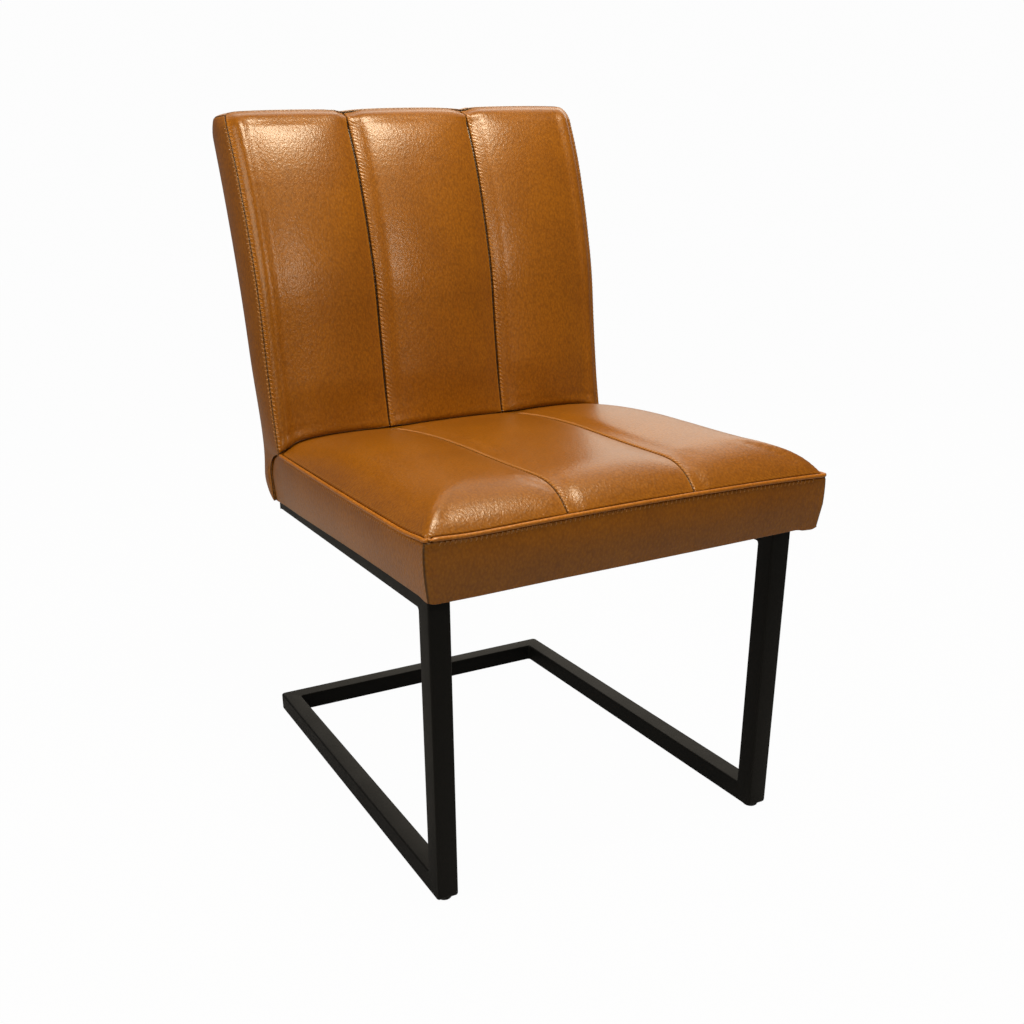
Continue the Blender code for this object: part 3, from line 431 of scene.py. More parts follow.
def mitre_edges(outer):
    """The edges that cross a corner of the frame on its outer or its inner side."""
    found = []
    for corner_index in range(1, len(frame_path) - 1):
        corner = frame_path[corner_index]
        inward = ((frame_path[corner_index - 1] - corner).normalized()
                  + (frame_path[corner_index + 1] - corner).normalized()).normalized()
        for edge in edges_near(corner):
            ends = [vert.co - corner for vert in edge.verts]
            depth = [end.dot(inward) for end in ends]
            if abs(depth[0] - depth[1]) < 1e-5 and (depth[0] < 0) == outer:
                found.append(edge)
    return found


def round_edges(edges, radius, segments, clamp):
    bmesh.ops.bevel(tube, geom=edges, offset=radius, offset_type="OFFSET", segments=segments,
                    profile=0.5, affect="EDGES", material=-1, clamp_overlap=clamp)


round_edges(mitre_edges(True), CORNER_ROUND, 5, False)
round_edges(mitre_edges(False), FILLET, 4, False)
long_edges = edges_along(tube, lambda edge: edge.calc_face_angle(0) > LONG_EDGE_ANGLE)
round_edges(long_edges, TUBE_EDGE, 4, True)
welded_frame = add_piece("welded_tube_frame", tube, POWDER_COAT)
welded_frame.data.set_sharp_from_angle(angle=SHARP_ANGLE)
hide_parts("leg_tube_left", "leg_tube_right", "floor_runner_left", "floor_runner_right",
            "rear_floor_crossbar", "seat_rail_left", "seat_rail_right")
print("frame faces", len(welded_frame.data.polygons))

# %% [markdown]
# The seat and back are foam cushions under sewn leather. Each is one closed form, so that neighbouring
# panels share their seam exactly. Panels cut one by one, as the sewer cuts them, would leave gaps. The
# lines of the form are packed close at the seams, where the leather dives in, and stay wide apart on
# the open panels. These are the sizes that the two cushions share, set by the frame that carries them.

# %% Cushion sizes
HALF_WIDTH = 247 * MM
SEAT_DEPTH = 448 * MM
SEAT_OVERHANG = 29 * MM
SEAT_FRONT_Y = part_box("leg_tube_left")[0].y - SEAT_OVERHANG
SEAT_BASE_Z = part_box("leg_tube_left")[1].z + 0.3 * MM
KNEE_Z = SEAT_BASE_Z + 26 * MM
SEAM_Z = SEAT_BASE_Z + 59.2 * MM
JOINT_Y = SEAT_FRONT_Y + SEAT_DEPTH
JOINT_GAP = 0.5 * MM
JOINT_BELLY = 46 * MM
JOINT_EDGE_Z = SEAM_Z + 8 * MM
JOINT_HEIGHT = 70 * MM
CHANNEL_AT = 86 * MM / HALF_WIDTH
BACK_HEIGHT = 416 * MM
BACK_TOP_Z = JOINT_EDGE_Z + BACK_HEIGHT
print("seat from y", round(SEAT_FRONT_Y, 4), "to", round(JOINT_Y, 4), "back top", round(BACK_TOP_Z, 4))


# %% Lines of a form, close at the seams
def spaced_lines(length, first, growth, widest):
    """Places from 0 to 1 along a length, close at both ends and at most widest apart between."""
    steps = [first]
    while steps[-1] * growth < widest and sum(steps) < length / 2:
        steps.append(steps[-1] * growth)
    open_part = length - 2 * sum(steps)
    count = max(1, math.ceil(open_part / widest))
    all_steps = steps + [open_part / count] * count + steps[::-1]
    return np.concatenate([[0.0], np.cumsum(all_steps)]) / length


def cushion_columns(first, growth, widest):
    side = spaced_lines(HALF_WIDTH * (1 - CHANNEL_AT), first, growth, widest)
    middle = spaced_lines(HALF_WIDTH * 2 * CHANNEL_AT, first, growth, widest)
    left = -1 + side * (1 - CHANNEL_AT)
    centre = -CHANNEL_AT + middle * 2 * CHANNEL_AT
    return np.concatenate([left, centre[1:], -left[::-1][1:]])


def smooth_step(value):
    share = np.clip(value, 0.0, 1.0)
    return share * share * (3 - 2 * share)


# %% [markdown]
# The seat's top rises from its seamed edge in a soft roll, highest across the middle, with a shallow
# valley along each channel seam. The left seam runs straight back, while the right one drifts outwards
# towards the back, and the corners sit unevenly, as on the real chair. It could be sculpted, but a
# formula for each height keeps every dimension open to change. A column is a place across the panels,
# not a fixed distance, so that columns follow the seams. A level is a place up the side, from -4 at the
# base over the knee at -3, where the side starts to curve, to 0 at the top seam. The fullness of a side
# is the power of its fall: the higher it is, the longer the top stays full before it drops.

# %% Sizes of the seat
RIGHT_CHANNEL_FRONT = 69.5 * MM
RIGHT_CHANNEL_REAR = 101.9 * MM
SEAT_CROWN = 32 * MM
SEAT_PILLOW = 4.5 * MM
SEAT_ROLL = 97 * MM
REAR_SINK = 0.55
EDGE_REAR_RISE = 5 * MM
EDGE_REAR_BOW = 3 * MM
EDGE_FRONT_BOW = 4 * MM
CORNER_LIFT_LEFT = 3.5 * MM
CORNER_LIFT_RIGHT = -0.5 * MM
CORNER_REACH = 35 * MM
LEFT_FULLNESS = 12.0
RIGHT_FULLNESS_AT = (0.1, 0.4, 0.75)
RIGHT_FULLNESS = (10.5, 14.5, 17.0)
SIDE_SWELL = 2 * MM
BASE_TUCK = 2.5 * MM
BASE_LEVEL, KNEE_LEVEL = -4, -3
LEVEL_TURN = 30


# %% Top of the seat
def seat_pillow(column):
    centre = 1 - np.abs(column / CHANNEL_AT) ** 2.5
    outer = 1 - np.maximum(0.0, 1 - 2 * (np.abs(column) - CHANNEL_AT) / (1 - CHANNEL_AT)) ** 2.5
    return np.where(np.abs(column) <= CHANNEL_AT, centre, outer)


def seat_across(column, depth):
    """Place across the width, from -1 to 1, of a column at a depth from the front, 0, to the rear, 1."""
    left = -CHANNEL_AT
    right = (RIGHT_CHANNEL_FRONT + (RIGHT_CHANNEL_REAR - RIGHT_CHANNEL_FRONT) * depth) / HALF_WIDTH
    middle = left + (column + CHANNEL_AT) / (2 * CHANNEL_AT) * (right - left)
    outer = right + (column - CHANNEL_AT) / (1 - CHANNEL_AT) * (1 - right)
    return np.where(column <= left, column, np.where(column <= CHANNEL_AT, middle, outer))


def seat_edge_z(across, depth):
    """Height of the seam line, carried on across the seat: it bows up at the rear and at the front."""
    rear = (EDGE_REAR_RISE + EDGE_REAR_BOW * (1 - across ** 4)) * depth ** 2
    front = EDGE_FRONT_BOW * (1 - across ** 2) * (1 - depth) ** 8
    to_side = (1 - np.abs(across)) * HALF_WIDTH / CORNER_REACH
    corner = np.exp(-to_side ** 2 - (depth * SEAT_DEPTH / CORNER_REACH) ** 2)
    return SEAM_Z + rear + front + np.where(across < 0, CORNER_LIFT_LEFT, CORNER_LIFT_RIGHT) * corner


def seat_top_z(column, depth):
    across = seat_across(column, depth)
    right_fullness = np.interp(depth, RIGHT_FULLNESS_AT, RIGHT_FULLNESS)
    side_fall = np.abs(across) ** np.where(across > 0, right_fullness, LEFT_FULLNESS)
    front_fall = (1 - np.minimum(1.0, depth * SEAT_DEPTH / SEAT_ROLL)) ** 4
    rise = 1 - np.minimum(1.0, (side_fall ** 6 + front_fall ** 6) ** (1 / 6))
    rise = rise * np.where(depth > 0.5, 1 - REAR_SINK * (2 * depth - 1) ** 2, 1.0)
    return seat_edge_z(across, depth) + rise * (SEAT_CROWN + SEAT_PILLOW * seat_pillow(column))


def joint_share(level):
    return np.where(level <= KNEE_LEVEL, 1.0, np.cos(np.radians(LEVEL_TURN * (level - KNEE_LEVEL))))


def level_z(level, top):
    low = SEAT_BASE_Z + (KNEE_Z - SEAT_BASE_Z) * (level - BASE_LEVEL)
    high = KNEE_Z + (top - KNEE_Z) * np.sin(np.radians(LEVEL_TURN * (level - KNEE_LEVEL)))
    return np.where(level <= KNEE_LEVEL, low, high)


# %% [markdown]
# Under the seat the leather is folded round the board. Between the rails it is pulled tight, but outside
# them and along the front its fold hangs a few millimetres lower. Along the front the hang goes through
# a short list of heights, because it is uneven on the real chair and no simple curve would follow it.

# %% Sides and lower fold of the seat
RAIL_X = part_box("seat_rail_right")[0].x / 2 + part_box("seat_rail_right")[1].x / 2
FRONT_HANG_X = np.array((-247, -190, -100, 0, 100, 190, 216, 224, 240, 247)) * MM
FRONT_HANG = np.array((4.5, 4.5, 3.2, 2.6, 1.8, 0.8, 0.6, 2.8, 3.6, 3.6)) * MM
FRONT_HANG_REACH = 16 * MM
FOLD_WIDTH = 11 * MM
SIDE_HANG = 0.5 * MM
SIDE_HANG_GAIN = 5 * MM
REAR_HANG = 1.5 * MM
RAIL_REACH = 15 * MM
CORNER_TUCK = 3 * MM
CORNER_TUCK_REACH = 9 * MM


def base_hang(x, y):
    """How far the leather's bottom fold hangs below the board, at the front and outside the rails."""
    outside = smooth_step(np.maximum(0.0, np.abs(x) - (HALF_WIDTH - FOLD_WIDTH)) / FOLD_WIDTH)
    behind_front = y - SEAT_FRONT_Y
    rearward = np.clip(behind_front / SEAT_DEPTH, 0, 1.3)
    side = outside * (SIDE_HANG + SIDE_HANG_GAIN * smooth_step(rearward) ** 2)
    off_rail = 1 - np.exp(-((np.abs(x) - RAIL_X) / RAIL_REACH) ** 2)
    side = side + REAR_HANG * off_rail * smooth_step((rearward - 1) / 0.12)
    front = np.interp(x, FRONT_HANG_X, FRONT_HANG) * np.exp(-(behind_front / FRONT_HANG_REACH) ** 2)
    corner = CORNER_TUCK * outside * np.exp(-(behind_front / CORNER_TUCK_REACH) ** 2)
    return np.maximum(side, front) - corner


def seat_point(column, level, depth):
    across = seat_across(column, depth)
    swell = SIDE_SWELL * np.sin(np.pi * (level - BASE_LEVEL) / -BASE_LEVEL)
    below_knee = np.maximum(0.0, KNEE_LEVEL - level)
    half = HALF_WIDTH + swell * (1 - depth ** 6) - BASE_TUCK * below_knee
    front = SEAT_FRONT_Y - swell * (1 - across ** 6) + BASE_TUCK * below_knee
    rear = JOINT_Y + JOINT_BELLY * joint_share(level)
    y = front + (rear - front) * depth
    z = level_z(level, seat_top_z(column, depth)) - base_hang(across * half, y) * below_knee
    return np.stack([across * half, y, z], axis=-1)


# %% [markdown]
# The back leans away in a slow curve, thick at the seat and thin at the top. Its front has three
# pillowed panels between sewn channels, its sides bulge a little, and its rear is one smooth panel
# that turns under at the bottom. It is worked out like the seat. A station is a place up the back: 0 at
# the seat, 1 at the top, and the seat's levels below 0, so that both cushions meet in the same joint.

# %% Sizes of the back
BACK_PILLOW = 9.5 * MM
BACK_LEAN = 103 * MM
BACK_LEAN_HEIGHTS = (0.0, 0.09, 0.28, 0.48, 0.68, 0.85, 1.0)
BACK_LEAN_SHARES = (0.0, 0.08, 0.18, 0.26, 0.46, 0.69, 1.0)
LEAN_BLUR = (-0.06, -0.03, 0.0, 0.03, 0.06)
BACK_TOP_ROLL = 10 * MM
TOP_ROLL_FROM = 0.935
PILLOW_GROWN = 0.18
PILLOW_ENDS = 0.92
BACK_REAR_TOP_Z = BACK_TOP_Z - 23 * MM
BACK_THICKNESS = 70 * MM
REAR_LEAN = 52 * MM
REAR_CURVE = 54.5 * MM
REAR_TURN_HEIGHT = 30 * MM
REAR_TURN_DEPTH = 22 * MM
TOP_CORNER_WIDTH = 16 * MM
TOP_CORNER_LEFT = 4.7 * MM
TOP_CORNER_RIGHT = 2.6 * MM
TOP_SPREAD = 3 * MM
TOP_FALL_FROM = 0.45
SCALLOP_MIDDLE = 2.5 * MM
SCALLOP_SIDE = 1.0 * MM
REAR_TUCK = 3 * MM
REAR_TUCK_FROM = 0.8
BACK_BULGE = 7 * MM
BULGE_START = -40 * MM
BULGE_RUN = 170 * MM
LOWER_BULGE = 2.6 * MM
LOWER_BULGE_FROM = 0.3


# %% Lines of the back, front and rear
def back_pillow(column):
    centre = 1 - np.abs(column / CHANNEL_AT) ** 3.2
    outer = 1 - np.abs(2 * (np.abs(column) - CHANNEL_AT) / (1 - CHANNEL_AT) - 1) ** 2.6
    return np.where(np.abs(column) <= CHANNEL_AT, centre, outer)


def rear_y(z):
    share = (z - KNEE_Z + 4 * MM) / (BACK_TOP_Z - KNEE_Z + 4 * MM)
    return JOINT_Y + BACK_THICKNESS + REAR_LEAN * share + REAR_CURVE * share * np.abs(share)


def rear_line(station):
    """The rear panel: a quarter turn at the bottom, up to station -2, and then the slow curve."""
    round_top = SEAT_BASE_Z + REAR_TURN_HEIGHT
    turn = np.radians(45 * (station - BASE_LEVEL))
    z_round = round_top - REAR_TURN_HEIGHT * np.cos(turn)
    z_low = round_top + (JOINT_EDGE_Z - round_top) * (station + 2) / 2
    z_high = JOINT_EDGE_Z + (BACK_REAR_TOP_Z - JOINT_EDGE_Z) * station
    z = np.where(station < -2, z_round, np.where(station < 0, z_low, z_high))
    y_round = rear_y(round_top) - REAR_TURN_DEPTH * (1 - np.sin(turn))
    return np.where(station < -2, y_round, rear_y(z)), z


def top_corner(column):
    return np.where(column > 0, TOP_CORNER_RIGHT, TOP_CORNER_LEFT)


def top_edge_z(column):
    x = np.abs(column) * HALF_WIDTH
    past = np.maximum(0.0, x - (HALF_WIDTH - TOP_CORNER_WIDTH)) / TOP_CORNER_WIDTH
    scallop = np.where(np.abs(column) < CHANNEL_AT * 1.12, SCALLOP_MIDDLE, SCALLOP_SIDE)
    return BACK_TOP_Z - top_corner(column) * past ** 2 - scallop * (1 - back_pillow(column)) * (1 - past)


def lean(station):
    """The lean's share, through the listed heights, with the corners of the line smoothed away."""
    shares = sum(np.interp(np.clip(station + shift, 0, 1), BACK_LEAN_HEIGHTS, BACK_LEAN_SHARES)
                 for shift in LEAN_BLUR) / len(LEAN_BLUR)
    ends = np.minimum(1.0, np.minimum(station, 1 - station) / LEAN_BLUR[-1])
    straight = np.interp(np.clip(station, 0, 1), BACK_LEAN_HEIGHTS, BACK_LEAN_SHARES)
    return straight + (shares - straight) * smooth_step(ends)


def front_line(column, station):
    start = JOINT_Y + JOINT_GAP
    joint_z = seat_top_z(column, np.ones_like(column))
    low_y = start + JOINT_BELLY * joint_share(station)
    low_z = level_z(station, joint_z)
    ending = np.maximum(0.0, station - PILLOW_ENDS) / (1 - PILLOW_ENDS)
    fade = smooth_step(station / PILLOW_GROWN) * (1 - ending ** 3)
    roll = BACK_TOP_ROLL * (np.maximum(0.0, station - TOP_ROLL_FROM) / (1 - TOP_ROLL_FROM)) ** 3
    high_y = start + BACK_LEAN * lean(station) - BACK_PILLOW * back_pillow(column) * fade + roll
    high_z = joint_z + (top_edge_z(column) - joint_z) * station
    return np.where(station <= 0, low_y, high_y), np.where(station <= 0, low_z, high_z)


# %% Width of the back
def back_half_width(column, thick, station):
    """Half the back's width: it bulges between its side seams, and the right side is fuller low down."""
    above = np.maximum(0.0, station)
    over_joint = BACK_HEIGHT * above + JOINT_HEIGHT / 4 * np.minimum(0.0, station)
    bulge = BACK_BULGE * np.sin(np.pi * thick) * smooth_step((over_joint - BULGE_START) / BULGE_RUN)
    near_top = np.maximum(0.0, 1 - (1 - station) * BACK_HEIGHT / TOP_CORNER_WIDTH)
    tuck = REAR_TUCK * (np.maximum(0.0, thick - REAR_TUCK_FROM) / (1 - REAR_TUCK_FROM)) ** 2
    half = HALF_WIDTH + bulge + TOP_SPREAD * above ** 3 - tuck - top_corner(column) * near_top ** 2
    fuller = np.where(column > 0, 1 + 2.6 * (1 - above) ** 3, 2.0) * MM
    half = half + fuller * smooth_step((station - BASE_LEVEL) / 2) * (1 - 0.5 * above ** 6)
    low_share = (np.maximum(0.0, -station) / -BASE_LEVEL) ** 1.9
    return half + LOWER_BULGE * np.minimum(1.0, thick / LOWER_BULGE_FROM) * np.sin(np.pi * low_share)


def back_point(column, thick, station):
    front_y, front_z = front_line(column, station)
    back_y, back_z = rear_line(station)
    rolled = (np.maximum(0.0, thick - TOP_FALL_FROM) / (1 - TOP_FALL_FROM)) ** 2.2
    fall = thick + (rolled - thick) * np.maximum(0.0, station) ** 8
    half = back_half_width(column, thick, station)
    y = front_y + (back_y - front_y) * thick
    hang = base_hang(column * half, y) * np.maximum(0.0, KNEE_LEVEL - station)
    return np.stack([column * half, y, front_z + (back_z - front_z) * fall - hang], axis=-1)


# %% [markdown]
# A cushion is laid as six grids that share their borders and are then merged into one closed form.
# Each grid notes how far every point lies from a sewn border and from a channel seam, measured along
# the surface. Those distances later press the seams in and shape the leather beside them. A subdivided
# box could be pulled into shape instead, but its lines would not run along the seams.

# %% Distances to the seams
FAR = 1.0
SEAM_LAYERS = ("border", "welt", "crease", "channel")


def arc_lengths(points, axis):
    steps = np.linalg.norm(np.diff(points, axis=axis), axis=-1)
    start = np.zeros_like(np.take(steps, [0], axis=axis))
    return np.concatenate([start, np.cumsum(steps, axis=axis)], axis=axis)


def seam_distances(points, sewn, channel_columns):
    """Distances to the nearest sewn, welted and creased border, and signed distance to a channel seam."""
    across, along = arc_lengths(points, 0), arc_lengths(points, 1)
    measures = {"first_column": across, "last_column": across[-1:] - across,
                "first_row": along, "last_row": along[:, -1:] - along}
    found = {"border": np.full(points.shape[:2], FAR), "welt": np.full(points.shape[:2], FAR),
             "crease": np.full(points.shape[:2], FAR)}
    for side, kind in sewn.items():
        gap = measures[side] if isinstance(side, str) else np.abs(along - along[:, side:side + 1])
        found[kind] = np.minimum(found[kind], gap)
    channel = np.full(points.shape[:2], FAR)
    for index in channel_columns:
        gap = across - across[index:index + 1]
        channel = np.where(np.abs(gap) < np.abs(channel), gap, channel)
    return {**found, "channel": channel}


# %% Lay one grid
def sample_swell(swell, columns, rows):
    """The coarse copy's moves at the lines of a finer grid."""
    coarse_columns, coarse_rows, moves = swell
    along = np.stack([[np.interp(columns, coarse_columns, moves[:, j, k])
                       for j in range(len(coarse_rows))] for k in range(3)], axis=-1)
    return np.stack([[np.interp(rows, coarse_rows, along[:, i, k]) for i in range(len(columns))]
                     for k in range(3)], axis=-1)


def lay_grid(mesh, layers, grid, swell):
    columns, rows, place, sewn, channel_columns = grid
    a, b = np.meshgrid(columns, rows, indexing="ij")
    points = place(a, b)
    if swell is not None:
        points = points + sample_swell(swell, columns, rows)
    gaps = seam_distances(points, sewn, channel_columns)
    made = bmesh.ops.create_grid(mesh, x_segments=len(columns) - 1, y_segments=len(rows) - 1,
                                 size=1.0)["verts"]
    for vert in made:
        i = round((vert.co.x + 1) / 2 * (len(columns) - 1))
        j = round((vert.co.y + 1) / 2 * (len(rows) - 1))
        for name, layer in layers.items():
            vert[layer] = gaps[name][i, j]
        vert.co = points[i, j]


def lay_cushion(grids, swells=None):
    mesh = bmesh.new()
    for name in SEAM_LAYERS:
        mesh.verts.layers.float.new(name)
    layers = {name: mesh.verts.layers.float[name] for name in SEAM_LAYERS}
    for name, grid in grids.items():
        lay_grid(mesh, layers, grid, (swells or {}).get(name))
    bmesh.ops.remove_doubles(mesh, verts=mesh.verts[:], dist=0.02 * MM)
    bmesh.ops.recalc_face_normals(mesh, faces=mesh.faces[:])
    return mesh


# %% Grids of the two cushions
SIDES = {"first_column": "border", "last_column": "border"}
ROUND_TOP = {"first_column": "welt", "last_column": "welt", "first_row": "welt", "last_row": "crease"}
BESIDE_JOINT = {"first_column": "border", "last_column": "crease", "last_row": "welt"}


def channel_places(columns):
    return [int(np.argmin(np.abs(columns - place))) for place in (-CHANNEL_AT, CHANNEL_AT)]


def seat_grids(columns, depths, levels):
    channels = channel_places(columns)
    return {
        "top": (columns, depths, lambda c, d: seat_point(c, np.zeros_like(c), d), ROUND_TOP, channels),
        "front": (columns, levels, lambda c, v: seat_point(c, v, np.zeros_like(c)),
                  {**SIDES, "last_row": "welt"}, []),
        "left": (depths, levels, lambda d, v: seat_point(-np.ones_like(d), v, d), BESIDE_JOINT, []),
        "right": (depths, levels, lambda d, v: seat_point(np.ones_like(d), v, d), BESIDE_JOINT, []),
        "rear": (columns, levels, lambda c, v: seat_point(c, v, np.ones_like(c)),
                 {"first_column": "crease", "last_column": "crease", "last_row": "crease"}, []),
        "base": (columns, depths, lambda c, d: seat_point(c, np.full_like(c, BASE_LEVEL), d), {}, [])}


def back_grids(columns, stations, thicknesses):
    channels = channel_places(columns)
    seat_row = int(np.argmin(np.abs(stations)))
    side_seams = {"last_column": "border", "first_row": "border", "last_row": "border"}
    return {
        "front": (columns, stations, lambda c, s: back_point(c, np.zeros_like(c), s),
                  {**SIDES, "last_row": "border", seat_row: "crease"}, channels),
        "rear": (columns, stations, lambda c, s: back_point(c, np.ones_like(c), s),
                 {**SIDES, "last_row": "border"}, []),
        "left": (stations, thicknesses, lambda s, t: back_point(-np.ones_like(s), t, s), side_seams, []),
        "right": (stations, thicknesses, lambda s, t: back_point(np.ones_like(s), t, s), side_seams, []),
        "top": (columns, thicknesses, lambda c, t: back_point(c, t, np.ones_like(c)),
                {**SIDES, "first_row": "border", "last_row": "border"}, []),
        "base": (columns, thicknesses, lambda c, t: back_point(c, t, np.full_like(c, BASE_LEVEL)),
                 {}, [])}


# %% [markdown]
# A sewn seam pulls the leather into a narrow slit. At a channel both seam allowances are turned to one
# side and stitched down, which keeps a strip about 11 mm wide low on that side. Along the back's sides
# and top the pillow stands up as a soft ridge 16 mm from the seam. Loops could be cut in and pushed
# down by hand, but a height worked out from the distance to the seam follows every seam at once. The
# profile functions give that height in metres.

# %% Seam profiles
SLIT_WIDTH = 0.8 * MM
BORDER_DEPTH = 1.8 * MM
CHANNEL_DEPTH = 2.4 * MM
CHANNEL_SLOPE = 14 * MM
CREASE_DEPTH = 1.6 * MM
CREASE_WIDTH = 3 * MM
WELT_BED = 3.0 * MM
WELT_BED_DEPTH = 2.6 * MM
STRIP_DEPTH = 1.8 * MM
STRIP_WIDTH = 11 * MM
STRIP_RISE = 12 * MM
RIDGE_HEIGHT = 4.0 * MM
RIDGE_START = 5 * MM
RIDGE_AT = 16 * MM
RIDGE_FADE = 14 * MM


def slit(distance, width=SLIT_WIDTH):
    return np.exp(-(distance / width) ** 2)


def low_strip(distance):
    """The stitched-down strip beside a seam: full depth near the seam, rising to the panel beyond it."""
    return -STRIP_DEPTH * (1 - smooth_step((distance - STRIP_WIDTH) / STRIP_RISE))


def seam_height(gaps, channel_depth, facing):
    """Height of the leather over its plain form: slits, welt bed, creases, low strips and ridges."""
    channel, border = gaps["channel"], gaps["border"]
    beside = np.where(channel > 0, low_strip(channel), -STRIP_DEPTH * slit(channel, CHANNEL_SLOPE))
    ridge = (RIDGE_HEIGHT * facing * smooth_step((border - RIDGE_START) / (RIDGE_AT - RIDGE_START))
             * (1 - smooth_step((border - RIDGE_AT) / RIDGE_FADE)))
    bed = -WELT_BED_DEPTH * np.exp(-(gaps["welt"] / WELT_BED) ** 4)
    return (-BORDER_DEPTH * slit(border) + ridge
            - channel_depth * slit(channel) + channel_depth / CHANNEL_DEPTH * beside
            - CREASE_DEPTH * slit(gaps["crease"], CREASE_WIDTH) + bed)


# %% [markdown]
# The same distances say where shade is painted inside a seam and round the welt, where a line beside
# the seam and its puckers are drawn paler, partly as pull-up leather pales where stretched and partly as
# painted highlight on the raised lip, and where it puckers. They could be painted by hand, but worked out
# they stay true when a seam is moved. Each goes into an attribute of the mesh, which the leather reads.

# %% Painted shade and highlight of the sewing
CREASE_SHADOW = 1.3 * MM
WELT_SHADOW = 2.4 * MM
PALE_AT = 2.4 * MM
PALE_WIDTH = 1.3 * MM
PULL_WIDTH = 6 * MM


def seam_marks(gaps, channel_painted_shade, border_shadow):
    channel, border, welt = gaps["channel"], gaps["border"], gaps["welt"]
    # painted shade in the seam slits, in the joint's crease and round the welt
    dark = np.maximum.reduce([slit(border, border_shadow), channel_painted_shade * slit(channel),
                              0.9 * slit(gaps["crease"], CREASE_SHADOW),
                              1 - smooth_step((welt - WELT_SHADOW) / CREASE_SHADOW)])
    # a pale line on each seam's lip: partly pull-up paling where stretched, partly painted highlight
    near = np.minimum(np.minimum(border, np.abs(channel)), welt - 2 * MM)
    pale = 0.5 * slit(near - PALE_AT, PALE_WIDTH)
    beside_channel = np.where(channel > 0, channel, FAR)
    pull = slit(np.minimum(np.minimum(border, beside_channel), welt), PULL_WIDTH)
    return {"seam_painted_shade": dark, "seam_stretch_and_highlight": pale, "seam_pull": pull}


# %% Press the seams in
def read_layer(data, name):
    values = np.zeros(len(data.vertices), np.float32)
    data.attributes[name].data.foreach_get("value", values)
    return values


def sew(piece, channel_depth, channel_painted_shade, border_shadow, has_ridge):
    """Presses the seams into a cushion and writes where shade is painted in them and where they are drawn
    paler.
    """
    data = piece.data
    count = len(data.vertices)
    points, normals = np.zeros(count * 3), np.zeros(count * 3)
    data.vertices.foreach_get("co", points)
    data.vertex_normals.foreach_get("vector", normals)
    gaps = {name: read_layer(data, name) for name in SEAM_LAYERS}
    normals = normals.reshape(-1, 3)
    facing = has_ridge * smooth_step(-normals[:, 1] * 2 - 0.6)
    moved = points.reshape(-1, 3) + normals * seam_height(gaps, channel_depth, facing)[:, None]
    data.vertices.foreach_set("co", moved.ravel())
    for name, values in seam_marks(gaps, channel_painted_shade, border_shadow).items():
        attribute = data.attributes.new(name, "FLOAT", "POINT")
        attribute.data.foreach_set("value", values.astype(np.float32))
    for name in SEAM_LAYERS:
        data.attributes.remove(data.attributes[name])
    data.update()


# %% [markdown]
# Foam under leather pushes the cover out between its seams. A formula could guess that, but cloth
# simulation finds it for every panel at once: a coarse copy of the cushion, a little too flat, is pinned
# along its seams, its base and the joint of seat and back, and blown up with light pressure. The way
# each of its points moved, with a cap, is then spread over the fine grids. The seams are pressed in
# afterwards, because a coarse copy can't hold anything as narrow as a seam.

# %% Swell of the foam
COARSE = 8 * MM
COARSE_LINES = (COARSE, 1.1, COARSE)
SEAT_PRESSURE = 4.0
SEAT_CAP = 4 * MM
BACK_PRESSURE = 10.0
BACK_CAP = 4 * MM
SWELL_FRAMES = 20
print("coarse points every", round(COARSE / MM, 1), "mm, frames", SWELL_FRAMES)


# %% Blow up a coarse cover
def relax_cover(data, pinned, pressure):
    """Where the cover's points end up once it has been blown up."""
    cover = bpy.data.objects.new("coarse_cover", data)
    bpy.context.scene.collection.objects.link(cover)
    group = cover.vertex_groups.new(name="sewn")
    group.add([int(index) for index in np.flatnonzero(pinned)], 1.0, "REPLACE")
    cloth = cover.modifiers.new("cloth", "CLOTH")
    cloth.settings.quality = 6
    cloth.settings.tension_stiffness = 15
    cloth.settings.compression_stiffness = 15
    cloth.settings.shear_stiffness = 2
    cloth.settings.bending_stiffness = 0.5
    cloth.settings.air_damping = 2
    cloth.settings.use_pressure = True
    cloth.settings.uniform_pressure_force = pressure
    cloth.settings.effector_weights.gravity = 0
    cloth.settings.vertex_group_mass = "sewn"
    cloth.collision_settings.use_collision = False
    cloth.point_cache.frame_start, cloth.point_cache.frame_end = 1, SWELL_FRAMES
    scene = bpy.context.scene
    for frame_number in range(1, SWELL_FRAMES + 1):
        scene.frame_set(frame_number)
    settled = cover.evaluated_get(bpy.context.evaluated_depsgraph_get()).to_mesh()
    after = np.zeros(len(settled.vertices) * 3)
    settled.vertices.foreach_get("co", after)
    bpy.data.objects.remove(cover)
    scene.frame_set(1)
    return after.reshape(-1, 3)


